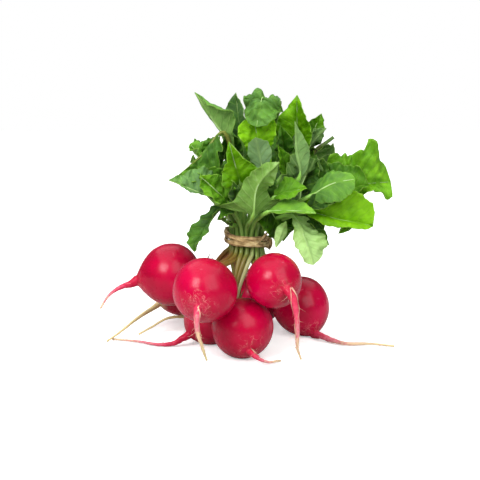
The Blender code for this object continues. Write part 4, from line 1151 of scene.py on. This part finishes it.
def makeBlade(line, leaf, phase, seed, surfaces):
    draw = random.Random(seed)
    rows = len(line) - 1
    steps = blade["across"] // 2
    half = leaf.width * mm / 2
    length = sum((b - a).length for a, b in zip(line, line[1:]))
    teeth = (toothRow(draw, length), toothRow(draw, length))
    flutter = draw.uniform(0, turn)
    ways = tangents(line)
    normals = carriedNormals(ways, Vector(leaf.face).normalized())
    outline = outlines[leaf.shape]

    def crossSection(i, side):  # places across one half, outwards from the rib: width, rise, share
        u = i / rows
        reach = max(reachAt(outline, u, side), blade["narrowest"]) * leaf.halves[side] * half
        uneven = noise.noise(Vector((u * blade["unevenness"], side * 9.0, seed * 1.7)))
        swing = blade["curlSwing"] * math.sin(blade["curlRate"] * u + flutter + side)
        curl = math.radians(leaf.curls[side]) * (blade["curlMean"] + swing)
        w = rise = 0.0
        places = [(0.0, 0.0, 0.0)]
        for n in range(1, steps + 1):
            x = n / steps
            edge = blade["tooth"] * leaf.teeth * toothAt(teeth[side], u) + blade["uneven"] * uneven
            step = reach / steps * (1 + edge * x**3)
            bent = max(x - blade["curlFrom"], 0) / (1 - blade["curlFrom"])
            angle = math.radians(leaf.fold) / 2 * (blade["foldAtRib"] - blade["foldEase"] * x) + curl * bent
            w += step * math.cos(angle)
            rise += step * math.sin(angle)
            places.append((w, rise, x * reach))
        return places

    sections = [(crossSection(i, 0), crossSection(i, 1)) for i in range(rows + 1)]

    def spread(s, t):
        i = round(t * rows)
        n = round(s * blade["across"]) - steps
        side = 1 if n > 0 else 0
        return i, abs(n), side, sections[i][side][abs(n)]

    def place(s, t):
        i, n, side, (w, rise, flat) = spread(s, t)
        u, x, hand = i / rows, n / steps, 1 if side else -1
        body = min(u / blade["easeIn"], (1 - u) / blade["easeOut"], 1) * leaf.halves[side] ** 0.5
        wave = blade["wave"] * math.sin(turn * blade["waves"] * u + phase * hand) * x**1.5
        ruffle = math.sin(turn * blade["ruffles"] * u + flutter * hand)
        ruffle += 0.5 * math.sin(turn * blade["fineRuffles"] * u + phase)
        loose = min(leaf.crumple, blade["mostRuffled"])
        rise += half * body * (wave + blade["ruffle"] * ruffle * x**3) * loose
        vein = (u * length - blade["veinSweep"] * flat) / blade["veinSpacing"]
        bulge = (0.5 - 0.5 * math.cos(turn * vein)) ** 0.7 * min(4 * x * (1 - 0.6 * x), 1)
        spot = Vector((hand * flat, u * length, 0)) / blade["crumpleSize"] + Vector((0, 0, seed * 3.1))
        rough = noise.noise(spot) + 0.5 * noise.noise(spot * 2.3)
        rise += (blade["pucker"] * bulge + blade["crumple"] * rough) * leaf.crumple * body
        rise -= blade["ribGroove"] * math.exp(-((flat / blade["ribWidth"]) ** 2))
        return line[i] + ways[i].cross(normals[i]) * hand * w + normals[i] * rise

    made, spots = grid("blade", blade["across"], blade["along"], place, surfaces)
    places = []
    for s, t in spots:
        i, n, side, (w, rise, flat) = spread(s, t)
        places.append(((flat if side else -flat) / mm, i / rows * length / mm, n / steps))
    setPlaces(made, "leafPlace", places)
    # Painted shade: it is darker towards its base, where the other leaves shade it, and lighter to its tip
    tones = [leaf.tone + blade["baseShade"] * (t - blade["toneAt"]) for _, t in spots]
    setPlaces(made, "leafToneAndShade", [(tone, leaf.pale, seed * 7.3) for tone in tones])
    thick = made.modifiers.new("thickness", "SOLIDIFY")
    thick.thickness = blade["thickness"]
    thick.offset = 0
    thick.material_offset = 1
    selectOnly(made)
    bpy.ops.object.modifier_apply(modifier=thick.name)
    return made


def makeStalk(line, leaf, base, red, seed, ripe, surface):
    last = len(line) - 1
    points, radii, values = [], [], []
    foot = sum(stalk["steps"][:3])
    ways = tangents(line)
    normals = carriedNormals(ways[base:], Vector(leaf.face).normalized())
    for k, point in enumerate(line):
        if k <= base or not leaf.width:
            radius = stalk["crownRadius"] + (stalk["radius"] - stalk["crownRadius"]) * min(k / foot, 1)
            if not leaf.width:
                radius *= 1 - (1 - stalk["cut"]) * k / last
            points.append(point)
            values.append((ripe * k / base, red, seed))
        else:
            u = (k - base) / (last - base)
            if u > stalk["ribEnd"]:
                break
            thick = stalk["rib"] * leaf.rib - stalk["ribTip"]
            radius = stalk["ribTip"] + thick * (1 - u) ** stalk["ribTaper"]
            radius = max(radius, stalk["radius"] * (1 - stalk["ribNarrows"] * u))
            off = stalk["ribOver"] if ripe < 1 else stalk["ribUnder"]
            points.append(point + normals[k - base] * radius * off * min(stalk["ribSinks"] * u, 1))
            values.append((ripe * (1 + u), red, seed))
        radii.append(radius)

    def ribbed(angle, i):
        ridge = stalk["ridgeHeight"] * math.cos(stalk["ridges"] * angle)
        return 1 + ridge + stalk["rough"] * noise.noise(Vector((angle, i * stalk["roughRate"], seed)))

    return tube("stalk", points, radii, stalk["sides"], surface, ribbed, values)


def makeCrown(spec, order, surface):  # the green crown, with the stubs of a few young leaves
    out = -headingOf(spec)
    foot = crownOf(spec) + out * stalk["gap"] + tie["place"]
    line = [foot + out * height * mm for height in crownShape["heights"]]
    widths = [width * mm for width in crownShape["widths"]]

    def ridged(angle, i):
        return 1 + crownShape["ridgeHeight"] * math.cos(crownShape["ridges"] * angle + order)

    values = [(0.02, 1, order)] * len(line)
    parts = [tube("crown", line, widths, crownShape["sides"], surface, ridged, values)]
    draw = random.Random(300 + order)
    side = out.orthogonal().normalized()
    for _ in range(crownShape["stubs"]):
        angle = draw.uniform(0, turn)
        lean = (Matrix.Rotation(angle, 3, out) @ side).normalized()
        start = foot + lean * crownShape["stubAt"]
        bent = start + (out + lean * 0.4) * 3 * mm
        end = start + (out + lean * 0.8) * draw.uniform(*crownShape["stubLengths"]) * mm
        route = smoothLine([start, bent, end], [3, 4])
        last = len(route) - 1
        radius, taper = crownShape["stubRadius"], crownShape["stubTaper"]
        thin = [radius * (1 - taper * i / last) for i in range(last + 1)]
        values = [(0.3, 0.6, order)] * len(route)
        parts.append(tube("stub", route, thin, crownShape["stubSides"], surface, None, values))
    return parts


def makePlantTops(name, spec, order, slots, surfaces, green):
    phases = random.Random(40 + order)
    count = blade["along"] // 2
    own = [slots[name, index] for index in range(len(leaves[name]))]
    middle = sum(own, Vector()) / len(own)
    blades, stalks = [], makeCrown(spec, order, green)
    for index, leaf in enumerate(leaves[name]):
        seed = order * 10 + index
        points = [point + tie["place"] for point in leafLine(spec, leaf, own[index], middle)]
        line = smoothLine(points, (*stalk["steps"], count, count))
        base = sum(stalk["steps"])
        phase = phases.uniform(0, turn)
        red = brownRed if (name, index) in brownStalks else blush.get(name, blush["others"])
        red = creamStalks.get((name, index), red)
        ripe = brownStalks.get((name, index), 1)
        stalkSeed = seed + random.Random(60 + seed).random()
        stalks.append(makeStalk(line, leaf, base, red, stalkSeed, ripe, green))
        if leaf.width:
            blades.append(makeBlade(line[base:], leaf, phase, seed, surfaces))
    for index, leaf in enumerate(leaflets.get(name, ())):
        line = smoothLine([point + tie["place"] for point in bladeLine(leaf)], (count, count))
        seed = 100 + order * 10 + index
        blades.append(makeBlade(line, leaf, phases.uniform(0, turn), seed, surfaces))
    dress(joined(stalks, "stalks_" + name), "radish_leaf", "tops_" + name)
    dress(joined(blades, "blades_" + name), "radish_leaf", "tops_" + name)
    print("tops made:", name)


def makeTops():
    surfaces = [makeLeafMaterial(name, **look) for name, look in leafSides.items()]
    green = makeStalkMaterial()
    slots = stalkSlots()
    for order, (name, spec) in enumerate(radishes.items()):
        makePlantTops(name, spec, order, slots, surfaces, green)


makeTops()


# Raffia: dry palm-leaf strips, split lengthways, matt and fibrous, knotted on the right

raffia = {
    "turns": 4,
    "steps": 64,
    "pitch": 1.15 * mm,
    "halfWidth": 1.15 * mm,
    "halfThickness": 0.5 * mm,
    "gap": 0.35 * mm,
    "standOff": 0.3 * mm,
    "grooves": 6,
    "grooveDepth": 0.16,
    "grooveTwist": 0.12,
    "sides": 28,
    "endShare": 0.55,  # of its full width, where the strip is cut
    "endSteps": 6,
    "rough": 0.12,
    "roughRate": 0.15,
    "cross": 1.25 * mm,  # how far the turns wander across each other
    "crossRate": 1.31,
    "lift": 0.25 * mm,
    "liftRate": 2.6,
    "knotTurns": 3,
    "knotSteps": 32,
    "knotAt": 0.5 * mm,
    "knotHigh": 2.6 * mm,
    "knotOut": 1.0 * mm,
    "knotLean": 1.2 * mm,  # how far the outer turns slant across the middle one
    "knotGap": 1.0 * mm,
    "knotHalf": (0.9 * mm, 0.45 * mm),  # half its width and half its thickness
    "knotTwist": 0.2,
    "endAt": 0.4 * mm,
    "endHalf": (0.5 * mm, 0.3 * mm),
    "endTwist": 0.1,
    # each end's angle, rise, way and length
    "ends": (
        (tie["knotAngle"], 2.0, (-0.1, -0.6, 0.8), 6.0),
        (math.radians(-62), 0.5, (0.6, -0.2, 0.9), 9.5),
    ),
    "fibres": 22,
    "fibreRadius": 0.13 * mm,
    "fibreSides": 4,
    "fibreLengths": (3, 8),
    "fibreSpread": 4,
    "fibreRise": 0.5,
}

raffiaLook = {
    "shades": ((0.36, "#4C3618"), (0.45, "#A08050"), (0.53, "#D0B47C"), (0.62, "#F0DCAC")),
    "patchScale": 240,  # 4 mm
}


def makeRaffiaMaterial():
    made, tree, shader, _ = newMaterial("dryRaffia")
    coord = add(tree, "TexCoord")
    # Bundles of fibres 0.6 mm wide and 17 mm long run along the strip, which is 5.6 mm round
    stretch = add(tree, "Mapping", {"Vector": coord.outputs["UV"], "Scale": (9, 16, 1)})
    fibre = add(tree, "TexNoise", {"Vector": stretch, "Scale": 1, "Detail": 4, "Roughness": 0.6})
    patch = add(tree, "TexNoise", {
        "Vector": coord.outputs["Object"], "Scale": raffiaLook["patchScale"], "Detail": 2})
    both = add(tree, "Math", {0: fibre, 1: patch}, operation="ADD")
    halved = add(tree, "Math", {0: both, 1: 0.5}, operation="MULTIPLY")
    colour = add(tree, "ValToRGB", {0: halved}, ramp=raffiaLook["shades"])
    tree.links.new(colour.outputs[0], shader.inputs["Base Color"])
    bump = add(tree, "Bump", {"Height": fibre, "Strength": 0.9, "Distance": 0.0006})
    tree.links.new(bump.outputs[0], shader.inputs["Normal"])
    shader.inputs["Roughness"].default_value = 0.78
    shader.inputs["Sheen Weight"].default_value = 0.1
    return made


def outOf(angle):
    return Vector((math.cos(angle), math.sin(angle), 0))


def onCoil(angle, height, radius):
    x, y = radius * math.cos(angle), radius * math.sin(angle)
    return tie["place"] + Vector((0, 0, tie["height"])) + Vector((x, y, height - tie["slope"] * x))


def strip(name, line, outward, half, thin, twist, surface):  # grooved, and flat against the stalks
    count = len(line)
    ways = tangents(line)
    rows = [(line[0], 0)] + [(point, 1) for point in line] + [(line[-1], 0)]

    def place(s, t):
        k = round(t * (count + 1))
        point, full = rows[k]
        i = min(max(k - 1, 0), count - 1)
        out = outward(point)
        out = (out - ways[i] * out.dot(ways[i])).normalized()
        up = ways[i].cross(out)
        angle = turn * (s % 1)
        groove = 1 + raffia["grooveDepth"] * math.cos(raffia["grooves"] * angle + twist * i)
        cut = raffia["endShare"]
        end = min(1, cut + (1 - cut) * min(i, count - 1 - i) / raffia["endSteps"])
        rough = noise.noise(Vector((angle, i * raffia["roughRate"], half / mm)))
        groove *= full * end * (1 + raffia["rough"] * rough)
        return point + (up * math.cos(angle) * half + out * math.sin(angle) * thin) * groove

    made, _ = grid(name, raffia["sides"], count + 1, place, [surface])
    closeSeam(made)
    return made


def makeCoil(reach, straw):
    total = raffia["turns"] * raffia["steps"]
    centre = tie["place"]
    line = []
    for k in range(total + 1):
        angle = tie["knotAngle"] + turn * k / raffia["steps"]
        height = raffia["pitch"] * raffia["turns"] * (k / total - 0.5)
        height += raffia["cross"] * math.sin(angle * raffia["crossRate"] + 0.4)
        lift = raffia["lift"] * math.sin(turn * k / raffia["steps"] * raffia["liftRate"])
        line.append(onCoil(angle, height, reach + lift))
    return strip("coil", line, lambda p: Vector((p.x - centre.x, p.y - centre.y, 0)),
                 raffia["halfWidth"], raffia["halfThickness"], raffia["grooveTwist"], straw)


def makeKnot(reach, straw):  # short turns round the band, one over the other, and its two ends
    parts = []
    out = outOf(tie["knotAngle"])
    along = Vector((-out.y, out.x, 0))
    heart = onCoil(tie["knotAngle"], 0, reach + raffia["knotAt"])
    for n in range(raffia["knotTurns"]):
        loop = []
        for k in range(raffia["knotSteps"] + 1):
            angle = turn * k / raffia["knotSteps"]
            aside = (n - 1) * (math.cos(angle) * raffia["knotLean"] + raffia["knotGap"])
            up = Vector((0, 0, raffia["knotHigh"] * math.cos(angle)))
            loop.append(heart + up + out * raffia["knotOut"] * math.sin(angle) + along * aside)
        parts.append(strip("knot", loop, lambda p: (p - heart) + out * 0.2 * mm, *raffia["knotHalf"],
                           raffia["knotTwist"], straw))
    for angle, rise, way, far in raffia["ends"]:
        start = onCoil(angle, rise * mm, reach + raffia["endAt"])
        off, way = outOf(angle), Vector(way)
        points = [start, start + off * 1.0 * mm + way * 2.5 * mm, start + off * 1.6 * mm + way * far * mm]
        route = smoothLine(points, [6, 10])
        parts.append(strip("end", route, lambda p: along + out * 0.2, *raffia["endHalf"],
                           raffia["endTwist"], straw))
    return parts


def makeFibres(reach, straw):  # loose fibres that stand off the band
    parts = []
    draw = random.Random(500)
    for _ in range(raffia["fibres"]):
        angle = draw.uniform(0, turn)
        height = draw.uniform(-raffia["fibreSpread"], raffia["fibreSpread"]) * mm
        start = onCoil(angle, height, reach + raffia["standOff"])
        away = outOf(angle)
        onward = Vector((-away.y, away.x, 0)) * draw.choice((-1, 1))
        lift = Vector((0, 0, draw.uniform(-raffia["fibreRise"], raffia["fibreRise"])))
        length = draw.uniform(*raffia["fibreLengths"]) * mm
        bent = start + onward * length * 0.5 + away * 0.4 * mm
        end = start + (onward * 0.8 + lift + away * 0.45) * length
        route = smoothLine([start, bent, end], [3, 3])
        thin = [raffia["fibreRadius"] * (1 - 0.1 * k) for k in range(len(route))]
        parts.append(tube("fibre", route, thin, raffia["fibreSides"], straw))
    return parts


def makeRaffia():
    straw = makeRaffiaMaterial()
    reach = tie["bundle"] + raffia["gap"] + raffia["halfThickness"] + raffia["standOff"]
    parts = [makeCoil(reach, straw), *makeKnot(reach, straw), *makeFibres(reach, straw)]
    dress(joined(parts, "raffia_strip"), "raffia", "raffia_tie")


makeRaffia()
print("raffia made")
